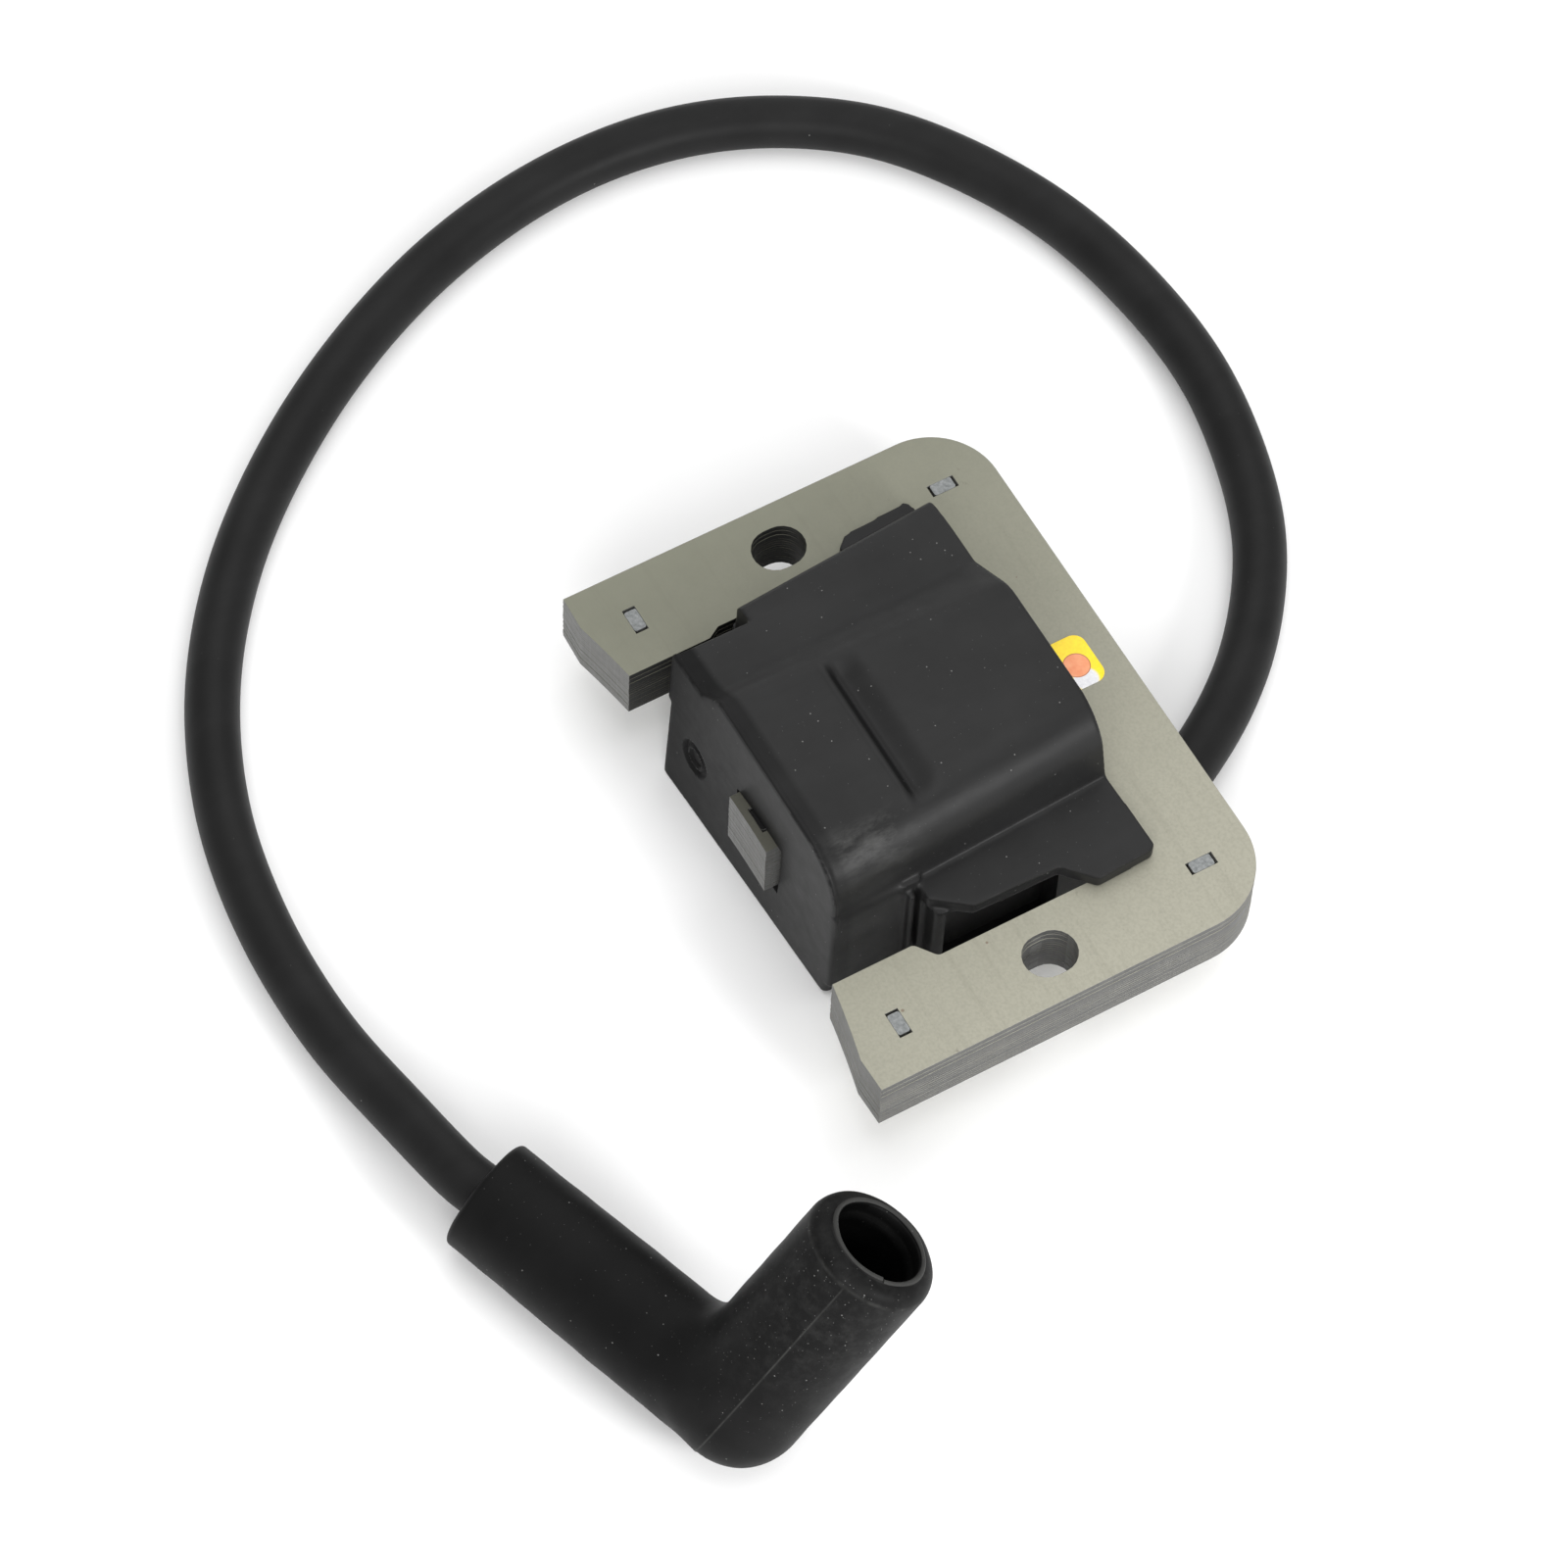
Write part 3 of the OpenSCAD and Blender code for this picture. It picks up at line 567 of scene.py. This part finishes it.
def even(pts, n, passes=0):
    p = np.array(pts)
    for _ in range(passes):
        q = p.copy()
        q[2:-2] = 0.25 * p[1:-3] + 0.5 * p[2:-2] + 0.25 * p[3:-1]
        p = q
    s = np.r_[0, np.cumsum(np.linalg.norm(np.diff(p, axis=0), axis=1))]
    t = np.linspace(0, s[-1], n)
    return np.stack([np.interp(t, s, p[:, i]) for i in range(3)], 1), s[-1]


def build_lead():
    path, length = even(catmull(LEAD, 14), 300, passes=0)
    # ease the listed points into one even bend, away from both straight ends
    for k in range(400):
        q = path.copy()
        w = 0.5 if k % 2 == 0 else -0.503
        q[14:-30] += w * (0.5 * (path[13:-31] + path[15:-29]) - path[14:-30])
        path = q
    path, length = even(path, 330)
    m, verts, faces = 28, [], []
    t = np.gradient(path, axis=0)
    t /= np.linalg.norm(t, axis=1)[:, None]
    for i, p in enumerate(path):
        s = unit(np.cross(V(0, 0, 1), t[i]))
        u = np.cross(t[i], s)
        r = 3.5 * (1 - 0.004 * (1 + math.sin(i * 0.21)))
        verts += [p + r * (math.cos(2 * math.pi * a / m) * s + math.sin(2 * math.pi * a / m) * u) for a in range(m)]
    for v in verts:
        v[2] = max(v[2], 0.01)
    n = len(path)
    faces = [(i * m + a, i * m + (a + 1) % m, (i + 1) * m + (a + 1) % m, (i + 1) * m + a) for i in range(n - 1) for a in range(m)]
    faces += [tuple(range(m - 1, -1, -1)), tuple((n - 1) * m + a for a in range(m))]
    ob = make("ht_lead", verts, faces)
    sharp_smooth(ob)
    print("lead length mm", round(length, 1))
    return ob, [tuple(p * MM) for p in path], length


lead, lead_path, lead_length = build_lead()


# ------------------------------------------------------------ boot
def sst(a, b, t):
    t = np.clip((t - a) / (b - a), 0, 1)
    return t * t * (3 - 2 * t)


def rounded_rod(rho, s, r, length, e):
    """Distance to a round rod from s = 0 to length, with edges of radius e."""
    q0, q1 = rho - (r - e), np.abs(s - length / 2) - (length / 2 - e)
    return np.hypot(np.maximum(q0, 0), np.maximum(q1, 0)) + np.minimum(np.maximum(q0, q1), 0) - e


def boot_distance(co):
    arm_len = float(np.linalg.norm(BOOT_J - BOOT_E))
    rel = co - BOOT_E
    s = rel @ C_DIR
    rho = np.linalg.norm(rel - s[:, None] * C_DIR, axis=1)
    s = s + (0.45 - 0.2 * (rel @ SLEEVE_W)) * (1 - sst(0, 12, s))
    d1 = rounded_rod(rho, s, 7.38 + 0.2 * sst(2, 26, s), arm_len, 0.7)
    rel = co - BOOT_J
    h = rel @ A_DIR
    w = 1 - sst(-1.0, 7.0, h)
    rel2 = rel - w[:, None] * (0.47 * CAM_R + 0.12 * CAM_U)
    h2 = rel2 @ A_DIR
    rho = np.linalg.norm(rel2 - h2[:, None] * A_DIR, axis=1)
    r = 8.37 - 0.24 * w
    cap = np.hypot(rho, np.minimum(h2, 0)) - r
    lip = 2.4
    q0, q1 = rho - (r - lip), h2 - (ARM_L - lip)
    top = np.hypot(np.maximum(q0, 0), np.maximum(q1, 0)) + np.minimum(np.maximum(q0, q1), 0) - lip
    d2 = np.where(h2 > 8, top, cap)
    k = 0.7 + 3.7 * sst(-4, 5, rel @ unit(A_DIR - C_DIR))
    hh = np.maximum(k - np.abs(d1 - d2), 0) / k
    return np.minimum(d1, d2) - hh * hh * k * 0.25


def build_boot():
    arm_len = float(np.linalg.norm(BOOT_J - BOOT_E))
    parts = [turned("p", BOOT_E, C_DIR, [(0, -1.0), (7.4, -1.0), (7.5, arm_len), (0, arm_len + 1)], 64),
             turned("p", BOOT_J, A_DIR, [(0, -8.3)] + arc(0, 0, 8.3, -84, 0, 10) + [(8.3, ARM_L - 2.3)] + arc(6.0, ARM_L - 2.3, 2.3, 0, 90, 6) + [(0, ARM_L)], 64),
             turned("p", BOOT_J + 6.5 * unit(A_DIR - C_DIR), unit(A_DIR - C_DIR), [(0, 0), (5.5, 0), (2.5, 5), (0, 5.2)], 24)]
    ob = join("spark_plug_boot_skin", parts)
    remesh(ob, 0.24, 2)
    co = np.array([v.co for v in ob.data.vertices]) / MM
    for _ in range(6):
        d = boot_distance(co)
        g = np.stack([(boot_distance(co + e) - boot_distance(co - e)) / 0.04 for e in 0.02 * np.eye(3)], 1)
        co = co - (d / np.maximum((g * g).sum(1), 0.3))[:, None] * g
    g /= np.linalg.norm(g, axis=1)[:, None]
    # raised mould seam, and the slight swelling of soft rubber
    rel = co - BOOT_J
    h, off = rel @ A_DIR, rel @ np.cross(A_DIR, ARM_W)
    lift = 0.07 * np.exp(-(off / 0.2) ** 2) * ((rel @ ARM_W) > 0) * sst(-8.6, -7, h) * (1 - sst(ARM_L - 3, ARM_L - 2, h))
    lift += 0.035 * np.sin(co[:, 0] * 0.9 + 1.3) * np.sin(co[:, 1] * 0.7) * np.sin(co[:, 2] * 0.8)
    co = co + g * lift[:, None]
    co[:, 2] = np.maximum(co[:, 2], 0.02)
    for v, c in zip(ob.data.vertices, co):
        v.co = Vector(c * MM)
    # bores: the plug's with a sealing rib inside, and the lead's
    L = ARM_L
    bore = [(0, -2.6)] + arc(0, 0, 2.6, -75, 0, 5) + [(2.6, 3), (4.2, 3), (4.2, 12.2), (5.7, 12.2), (5.72, L - 4.4), (5.65, L - 3.9), (5.5, L - 3.4),
            (5.4, L - 3.0), (5.4, L - 2.7), (5.5, L - 2.3), (5.65, L - 1.9), (5.72, L - 1.5), (5.74, L - 0.3), (5.9, L - 0.1), (5.95, L + 1), (0, L + 1)]
    cut(ob, turned("c", BOOT_J, A_DIR, bore, 120))
    cut(ob, turned("c", BOOT_E, C_DIR, [(0, -4), (3.55, -4), (3.55, 1.0), (3.55, 23.5), (2.3, 23.5), (2.3, arm_len - 0.5), (0, arm_len - 0.5)], 64))
    # thin bead round the mouth: one turn of flash that doesn't quite meet itself
    e1 = np.cross(ARM_W, A_DIR)
    if e1 @ CAM_R < 0:
        e1 = -e1
    verts, faces, n, m = [], [], 120, 10
    a0 = math.radians(61)
    for i in range(n):
        f = i / (n - 1)
        th = a0 + f * math.radians(359)
        rad = 5.83 + 0.3 * f
        rdir = math.cos(th) * e1 + math.sin(th) * ARM_W
        c = BOOT_J + (ARM_L - 0.06 + 0.05 * math.sin(3 * th)) * A_DIR + rad * rdir
        rr = 0.32 + 0.03 * math.sin(5 * th + 1)
        verts += [c + rr * (math.cos(2 * math.pi * j / m) * rdir + math.sin(2 * math.pi * j / m) * A_DIR) for j in range(m)]
    faces = [(i * m + j, i * m + (j + 1) % m, (i + 1) * m + (j + 1) % m, (i + 1) * m + j) for i in range(n - 1) for j in range(m)]
    faces += [tuple(range(m - 1, -1, -1)), tuple((n - 1) * m + j for j in range(m))]
    bead = make("bead", verts, faces)
    md = ob.modifiers.new("b", "BOOLEAN")
    md.operation, md.object, md.solver = "UNION", bead, "EXACT"
    apply_mods(ob)
    bpy.data.objects.remove(bead)
    sharp_smooth(ob, 40)
    return ob


boot = build_boot()
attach(boot, "boot")
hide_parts("spark_plug_boot")
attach(lead, "module")
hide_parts("ht_lead_jacket")


# ------------------------------------------------------------ housing
ZT = 16.5


def zs(pts):
    return [(p[0], p[1] + ZT, *(p[2:] or (0,))) for p in pts]


def relax(co, edges, weight, n, lam=0.5):
    deg = np.bincount(edges.ravel(), minlength=len(co))
    for _ in range(n):
        avg = np.stack([(np.bincount(edges[:, 0], co[edges[:, 1], k], len(co)) + np.bincount(edges[:, 1], co[edges[:, 0], k], len(co))) / deg for k in range(3)], 1)
        co = co + (lam * weight)[:, None] * (avg - co)
    return co


def mesh_edges(ob):
    e = np.zeros(len(ob.data.edges) * 2, np.int32)
    ob.data.edges.foreach_get("vertices", e)
    return e.reshape(-1, 2)


def build_housing():
    front_y, back_y = -22.9, 16.7
    shelf_f = zs([(-21.5, -1, 0), (-21.5, 8.1, 0.7), (-12, 8.8, 0), (-8, 8.8, 0), (-8, -1, 0)])
    shelf_g = zs([(-21.5, -1, 0), (-21.5, 7.9, 0.9), (-12, 8.45, 0), (-8, 8.45, 0), (-8, -1, 0)])
    shelf_m = zs([(-24.9, -1, 0), (-24.6, 6.9, 2.0), (-20.5, 7.95, 3), (-8, 8.35, 0), (-8, -1, 0)])
    shelf_b = zs([(-27.7, -1, 0), (-26.9, 6.3, 1.6), (-22.5, 7.0, 3), (-8, 7.1, 0), (-8, -1, 0)])
    dome_f = zs([(-15.0, -1, 0), (-14.8, 8.2, 0.8), (-10.6, 12.05, 2.6), (17.75, 12.2, 6.6), (17.75, -1, 0)])
    dome_b = zs([(-18.0, -1, 0), (-17.2, 6.3, 1.0), (-8.2, 12.4, 5.5), (13.7, 12.5, 7.0), (16.7, -1, 0)])
    parts = [
        loft("p", lerp_sections(shelf_f, shelf_g, front_y, -12.0, 6)),
        loft("p", lerp_sections(shelf_m, shelf_b, -12.3, back_y, 12)),
        loft("p", lerp_sections(dome_f, dome_b, front_y, back_y, 24, 14)),
        rbox("p", (-21.6, -22.9, 0), (18.1, 16.0, ZT + 0.5), 1.4),
        rbox("p", (4.0, -22.9, 3.0), (18.1, -10.6, ZT + 3.1), 0.5),
        rbox("p", (-26.0, -12.3, 0), (-15, 16.0, ZT + 0.5), 0.9),
        rbox("p", (10, -10.8, 0), (22.3, 16.0, ZT + 0.5), 0.9),
        prism("p", rounded([(14, -10.6), (14, 16.6), (27, 16.9, 0.5), (27.6, 16.1, 0.4), (28, 8.5, 0.4), (24.2, 5, 0.4),
                            (23.9, -6.7, 0.4), (20.4, -11.2, 0.4), (18.4, -11.2, 0.3)], 3), ZT + 0.15, ZT + 2.3),
        prism("p", rounded([(-24, 4.2), (-24, 15.9), (-28.6, 15.9, 0.4), (-30.3, 15.4, 0.6), (-29.7, 6.2, 0.6), (-28.4, 4.7, 0.5)], 3), ZT, ZT + 2.0),
        box("p", (10.8, 12, 0), (20.2, 18.5, 7.8)),
    ]
    for y in (-12.5, -11.0):
        parts.append(prism("p", rounded([(17, y - 0.4), (19.3, y - 0.4, 0.3), (19.3, y + 0.4, 0.3), (17, y + 0.4)], 3), 4.0, ZT + 1.9))
    ob = join("coil_housing_skin", parts)
    remesh(ob, 0.25, 4)
    co = np.array([v.co for v in ob.data.vertices]) / MM
    x, y, z = co.T
    # soft valley and ridge between the shelf and the dome
    soft = sst(-20.5, -17, x) * (1 - sst(-7, -3, x)) * sst(ZT + 5, ZT + 6.5, z) * sst(-22.6, -20.5, y) * (1 - sst(14.5, 16.2, y))
    soft = np.maximum(soft, sst(15.2, 16.4, x) * sst(ZT + 0.5, ZT + 2, z) * (1 - sst(ZT + 6, ZT + 8, z)) * sst(-22.6, -21.5, y) * (1 - sst(-14, -13, y)) * 0.35)
    co = relax(co, mesh_edges(ob), soft, 160)
    for v, c in zip(ob.data.vertices, co):
        v.co = Vector(c * MM)
    ob.data.update()
    nrm = np.array([v.normal for v in ob.data.vertices])
    x, y, z = co.T
    # the front panel's edge stands a little proud of the dome and of the shelf
    nx, nz = nrm[:, 0], nrm[:, 2]
    out = np.hypot(nx, nz)
    rim = 0.2 * (1 - sst(-22.35, -22.0, y)) * sst(0.35, 0.7, out) * sst(ZT - 2, ZT + 2, z)
    x, z = x + rim * nx, z + rim * nz
    # raised pad on the front of the dome: a ramp down behind it
    top = z > ZT + 9.5
    xw = sst(-10.8, -7.0, x) * (1 - sst(10.0, 13.4, x))
    ramp = sst(-9.4, -8.1, y) * (1 - sst(-8.1, -4.2, y))
    z = z + top * (-1.05 * xw * ramp + 0.09 * xw * np.exp(-((y + 9.6) / 0.25) ** 2))
    # round mark in the front face: a dimple with a plain ring
    fr = y < -22.2
    d = np.hypot(x + 14.2, z - 11.0)
    dim = (1 - sst(2.5, 2.85, d)) - 0.8 * sst(1.25, 1.45, d) * (1 - sst(1.75, 1.95, d))
    y = y + 0.5 * np.clip(dim, 0, 1) * fr
    # slight sink of the front face round the window, as mouldings have
    y = y + 0.4 * np.exp(-((x - 1.5) ** 2 + (z - 13) ** 2) / 60.0) * fr
    # moulding draft: the front leans out down to the rim, more on the left
    lean = np.clip((28.6 - z) / 28.6, 0, 1) * (0.1 + 1.7 * np.clip((19 - x) / 40, 0, 1))
    y = y - lean * (1 - sst(-20, -12.6, y))
    x = x + 0.6 * np.clip((25 - z) / 25, 0, 1) * (1 - sst(-20.5, -14, x)) * (1 - sst(-13.2, -12.2, y))
    # lower front corner on the right is rounded off
    cr = 3.2 - np.sqrt(np.maximum(3.2 ** 2 - np.clip(x - 14.9, 0, 3.2) ** 2, 0))
    lowz = np.maximum(z, cr * (1 - sst(-21.5, -17, y)))
    z = np.where((x > 14.9) & (z < 3.3), lowz, z)
    co = np.stack([x, y, z], 1)
    for v, c in zip(ob.data.vertices, co):
        v.co = Vector(c * MM)
    cut(ob, box("c", (-4.9, -25, 7.3), (5.5, -19.9, 17.2)))
    # pocket under the right-hand flange
    cut(ob, prism("c", [(18.9, -7.6), (24, -10.6), (24, 6.6), (18.9, 6.6)], 1.5, ZT + 0.1))
    cut(ob, join("c", [box("c", (-20.0, -21.3, -1), (17.1, 14.4, 14.9))]))
    cut(ob, join("c", [box("c", (-24.4, -10.7, -1), (-17, 14.4, 14.8))]))
    cutter = turned("c", V(15.5, 10, 4), V(0, 1, 0), [(0, 0), (3.55, 0), (3.55, 12), (0, 12)], 48)
    cut(ob, cutter)
    cut(ob, box("c", (-20.55, 13, 3.55), (-14.15, 19, 4.45)))
    sharp_smooth(ob, 38)
    return ob


housing = build_housing()
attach(housing, "module")
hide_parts("coil_housing")


# ------------------------------------------------------------ core
def curve_plate(name, loops, z, half, bevel):
    """A thin plate from closed 2D loops, holes included, with softened edges."""
    cu = bpy.data.curves.new(name, "CURVE")
    cu.dimensions, cu.fill_mode = "2D", "BOTH"
    cu.extrude, cu.bevel_depth, cu.bevel_resolution = (half - bevel) * MM, bevel * MM, 0
    cu.offset = -bevel * MM
    for loop in loops:
        sp = cu.splines.new("POLY")
        sp.points.add(len(loop) - 1)
        for pt, p in zip(sp.points, loop):
            pt.co = (p[0] * MM, p[1] * MM, 0, 1)
        sp.use_cyclic_u = True
    ob = bpy.data.objects.new(name, cu)
    scene.collection.objects.link(ob)
    bpy.context.view_layer.update()
    me = bpy.data.meshes.new_from_object(ob.evaluated_get(bpy.context.evaluated_depsgraph_get()))
    bpy.data.objects.remove(ob)
    me.transform(Matrix.Translation((0, 0, z * MM)))
    out = bpy.data.objects.new(name, me)
    scene.collection.objects.link(out)
    return out


POLE_R, POLE_C = 145.0, -169.45


def pole(x):
    return POLE_C + math.sqrt(POLE_R ** 2 - x * x)


def outline():
    pts = []
    pts += [(-39.3, -28.48), (-34.6, -28.64)]
    pts += [(-x, pole(x)) for x in np.linspace(34.0, 25.6, 9)]
    pts += rounded([(-25.6, -20), (-25.6, -15.3, 0.8), (-26.6, -13.6, 0.6), (-26.6, 16.2, 0.8), (26.7, 16.2, 0.8), (26.7, -13.2, 0.9), (24.0, -15.2, 0.9), (24.0, -20)], 4)
    pts += [(x, pole(x)) for x in np.linspace(24.0, 34.0, 11)]
    pts += [(34.6, -28.64), (39.3, -28.48)]
    pts += rounded([(39.3, 0), (39.3, 28.5, 10.0), (-39.3, 28.5, 9.2), (-39.3, 0)], 18)
    return pts


def slot_loop(cx, cy, w, l, n=12):
    r, h = w / 2, (l - w) / 2
    return [(cx + r * math.cos(a), cy + h + r * math.sin(a)) for a in np.linspace(0, math.pi, n)] + \
           [(cx + r * math.cos(a), cy - h + r * math.sin(a)) for a in np.linspace(math.pi, 2 * math.pi, n)]


MARKS = [(-32.4, -22.1, 0), (32.4, -22.1, 0), (-31.1, 21.3, 90), (31.1, 21.3, 90)]


def rect_loop(cx, cy, a, w, h):
    c, s = math.cos(math.radians(a)), math.sin(math.radians(a))
    return [(cx + c * u - s * v, cy + s * u + c * v) for u, v in ((-w / 2, -h / 2), (w / 2, -h / 2), (w / 2, h / 2), (-w / 2, h / 2))]


def build_core():
    rng = np.random.default_rng(7)
    plates, n = [], 17
    base = outline()
    for i in range(n):
        z = 8.0 + 0.25 + 0.5 * i
        dx, dy = rng.normal(0, 0.022, 2) if i < n - 1 else (0, 0)
        loops = [[(p[0] + dx, p[1] + dy) for p in base],
                 slot_loop(-33 + dx, -1.3 + dy, 6, 7.1), slot_loop(33 + dx, -1.3 + dy, 6, 7.1)]
        if i >= n - 2:
            loops += [rect_loop(x + dx, y + dy, a, 3.7, 1.72) for x, y, a in MARKS]
        plates.append(curve_plate("p", loops, z, 0.248, 0.03))
    # the lanced tongues of the interlocks, a hair below the top sheet
    for x, y, a in MARKS:
        t = prism("p", rounded([(-1.5, -0.83, 0.3), (1.5, -0.83, 0.3), (1.5, 0.83, 0.3), (-1.5, 0.83, 0.3)], 3), -0.9, -0.035)
        t.data.transform(Matrix.Translation((x * MM, y * MM, 16.5 * MM)) @ Matrix.Rotation(math.radians(a), 4, "Z"))
        plates.append(t)
    ob = join("core_frame_sheets", plates)
    sharp_smooth(ob, 30)
    return ob


def build_bar():
    rng = np.random.default_rng(11)
    plates = []
    x0, x1, n = 0.03 - 4.5, 0.03 + 4.5, 19
    for i in range(n):
        z = 7.5 + 0.25 + 0.5 * i
        dx, dy = rng.normal(0, 0.02, 2) if i < n - 1 else (0, 0)
        front = [(x, pole(x)) for x in np.linspace(x0, x1, 5)]
        loops = [[(p[0] + dx, p[1] + dy) for p in front] + [(x1 + dx, 16.15), (x0 + dx, 16.15)]]
        if i >= n - 2:
            loops.append(rect_loop(0.03, -22.7, 0, 3.7, 1.55))
        plates.append(curve_plate("p", loops, z, 0.248, 0.03))
    t = prism("p", rounded([(-1.5, -0.75, 0.25), (1.5, -0.75, 0.25), (1.5, 0.75, 0.25), (-1.5, 0.75, 0.25)], 3), -0.9, -0.035)
    t.data.transform(Matrix.Translation((0.03 * MM, -22.7 * MM, 17.0 * MM)))
    plates.append(t)
    ob = join("core_centre_bar_sheets", plates)
    sharp_smooth(ob, 30)
    return ob


core = build_core()
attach(core, "module")
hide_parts("core_frame")
bar = build_bar()
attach(bar, "module")
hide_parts("core_centre_bar")


# ------------------------------------------------------------ sticker
def build_sticker():
    o = rounded([(-4.5, 18.0, 1.6), (2.9, 18.0, 1.6), (2.9, 25.2, 1.6), (-4.5, 25.2, 1.6)], 8)
    z = 16.5
    inner = [(p[0] * 0.985 - 0.012, (p[1] - 21.6) * 0.985 + 21.6) for p in o]
    m = len(o)
    verts = [(p[0], p[1], z + 0.002) for p in o] + [(p[0], p[1], z + 0.07) for p in o] + [(p[0], p[1], z + 0.1) for p in inner]
    faces = [(k * m + j, k * m + (j + 1) % m, (k + 1) * m + (j + 1) % m, (k + 1) * m + j) for k in range(2) for j in range(m)]
    faces += [tuple(range(m - 1, -1, -1)), tuple(range(2 * m, 3 * m))]
    ob = make("inspection_sticker_skin", verts, faces)
    sharp_smooth(ob, 30)
    return ob


sticker = build_sticker()
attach(sticker, "module")
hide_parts("inspection_sticker")

# ------------------------------------------------------------ finishes
core.data.materials.append(core_material())
bar.data.materials.append(core_material())
housing.data.materials.append(plastic_material("housing_plastic", 0.012, 0.36, 0.5, 0.2, grit=0.42, extra=housing_extra, gloss=housing_gloss))
boot.data.materials.append(plastic_material("boot_rubber", 0.0048, 0.42, 0.58, 0.095, grit=0.6, extra=boot_extra))
lead.data.materials.append(plastic_material("lead_jacket", 0.0105, 0.42, 0.55, 0.13, grit=0.03))
sticker.data.materials.append(sticker_material())

INNER = {
    "potting_compound": lambda: simple_mat("potting_resin", (0.02, 0.02, 0.021), 0.3, size=6, bump=0.2),
    "circuit_board": lambda: simple_mat("board_laminate", (0.03, 0.16, 0.06), 0.45, size=0.8, bump=0.2),
    "storage_capacitor": lambda: simple_mat("capacitor_case", (0.5, 0.05, 0.03), 0.35, size=3, var=0.15),
    "silicon_switch": lambda: simple_mat("device_case", (0.02, 0.02, 0.02), 0.5, size=0.5),
    "rectifier_diodes": lambda: simple_mat("diode_case", (0.022, 0.022, 0.022), 0.45, size=0.5),
    "gate_resistors": lambda: simple_mat("resistor_body", (0.42, 0.28, 0.14), 0.45, size=0.6),
    "ground_strap": lambda: simple_mat("tinned_steel", (0.6, 0.6, 0.57), 0.35, 1.0, size=0.8),
    "kill_terminal": lambda: simple_mat("tinned_brass", (0.62, 0.56, 0.36), 0.33, 1.0, streak=(0.3, 4, 0.3)),
    "ht_contact_pin": lambda: simple_mat("pin_brass", (0.62, 0.56, 0.36), 0.33, 1.0, size=0.6),
    "ht_lead_conductor": lambda: simple_mat("copper_strand", (0.6, 0.3, 0.14), 0.35, 1.0, size=0.4),
    "plug_contact_spring": lambda: simple_mat("spring_wire", (0.5, 0.5, 0.48), 0.3, 1.0, size=0.5),
}
for n, ob in NODES.items():
    if n in ("core_frame", "core_centre_bar", "coil_housing", "spark_plug_boot", "ht_lead_jacket", "inspection_sticker"):
        continue
    if n in INNER:
        mt = INNER[n]()
    elif "bobbin" in n:
        mt = simple_mat("nylon_" + n, (0.72, 0.68, 0.55), 0.5, size=1.5, var=0.08)
    else:
        mt = simple_mat("wire_" + n, (0.5, 0.19, 0.07), 0.32, 0.85, streak=(8, 0.12, 8), var=0.35, bump=0.5)
    ob.data.materials.clear()
    ob.data.materials.append(mt)

# ------------------------------------------------------------ stage
bm = bmesh.new()
bmesh.ops.create_grid(bm, x_segments=8, y_segments=8, size=1.6)
me = bpy.data.meshes.new("floor")
bm.to_mesh(me)
bm.free()
floor = bpy.data.objects.new("floor", me)
floor.location = (0, 0, -0.00005)
scene.collection.objects.link(floor)
floor.data.materials.append(floor_material())
floor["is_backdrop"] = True

world = bpy.data.worlds.new("studio")
world.use_nodes = True
world.node_tree.nodes["Background"].inputs["Color"].default_value = (1, 1, 1, 1)
world.node_tree.nodes["Background"].inputs["Strength"].default_value = 0.56
scene.world = world


def area(name, pos, target, size, power):
    li = bpy.data.lights.new(name, "AREA")
    li.shape, li.size, li.size_y, li.energy = "RECTANGLE", size[0], size[1], power
    ob = bpy.data.objects.new(name, li)
    ob.location = pos
    ob.rotation_euler = (Vector(target) - Vector(pos)).to_track_quat("-Z", "Y").to_euler()
    scene.collection.objects.link(ob)


area("key", (0.5, -0.42, 0.5), (0, 0, 0), (0.45, 0.45), 3.0)
area("right", (0.7, 0.16, 0.36), (0.01, -0.01, 0.01), (0.22, 0.22), 3.6)
area("fill", (-0.6, 0.35, 0.6), (0, 0, 0), (0.8, 0.8), 2.0)
area("top", (0.0, 0.1, 1.1), (0, 0, 0), (0.9, 0.9), 3.8)

low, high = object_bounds()
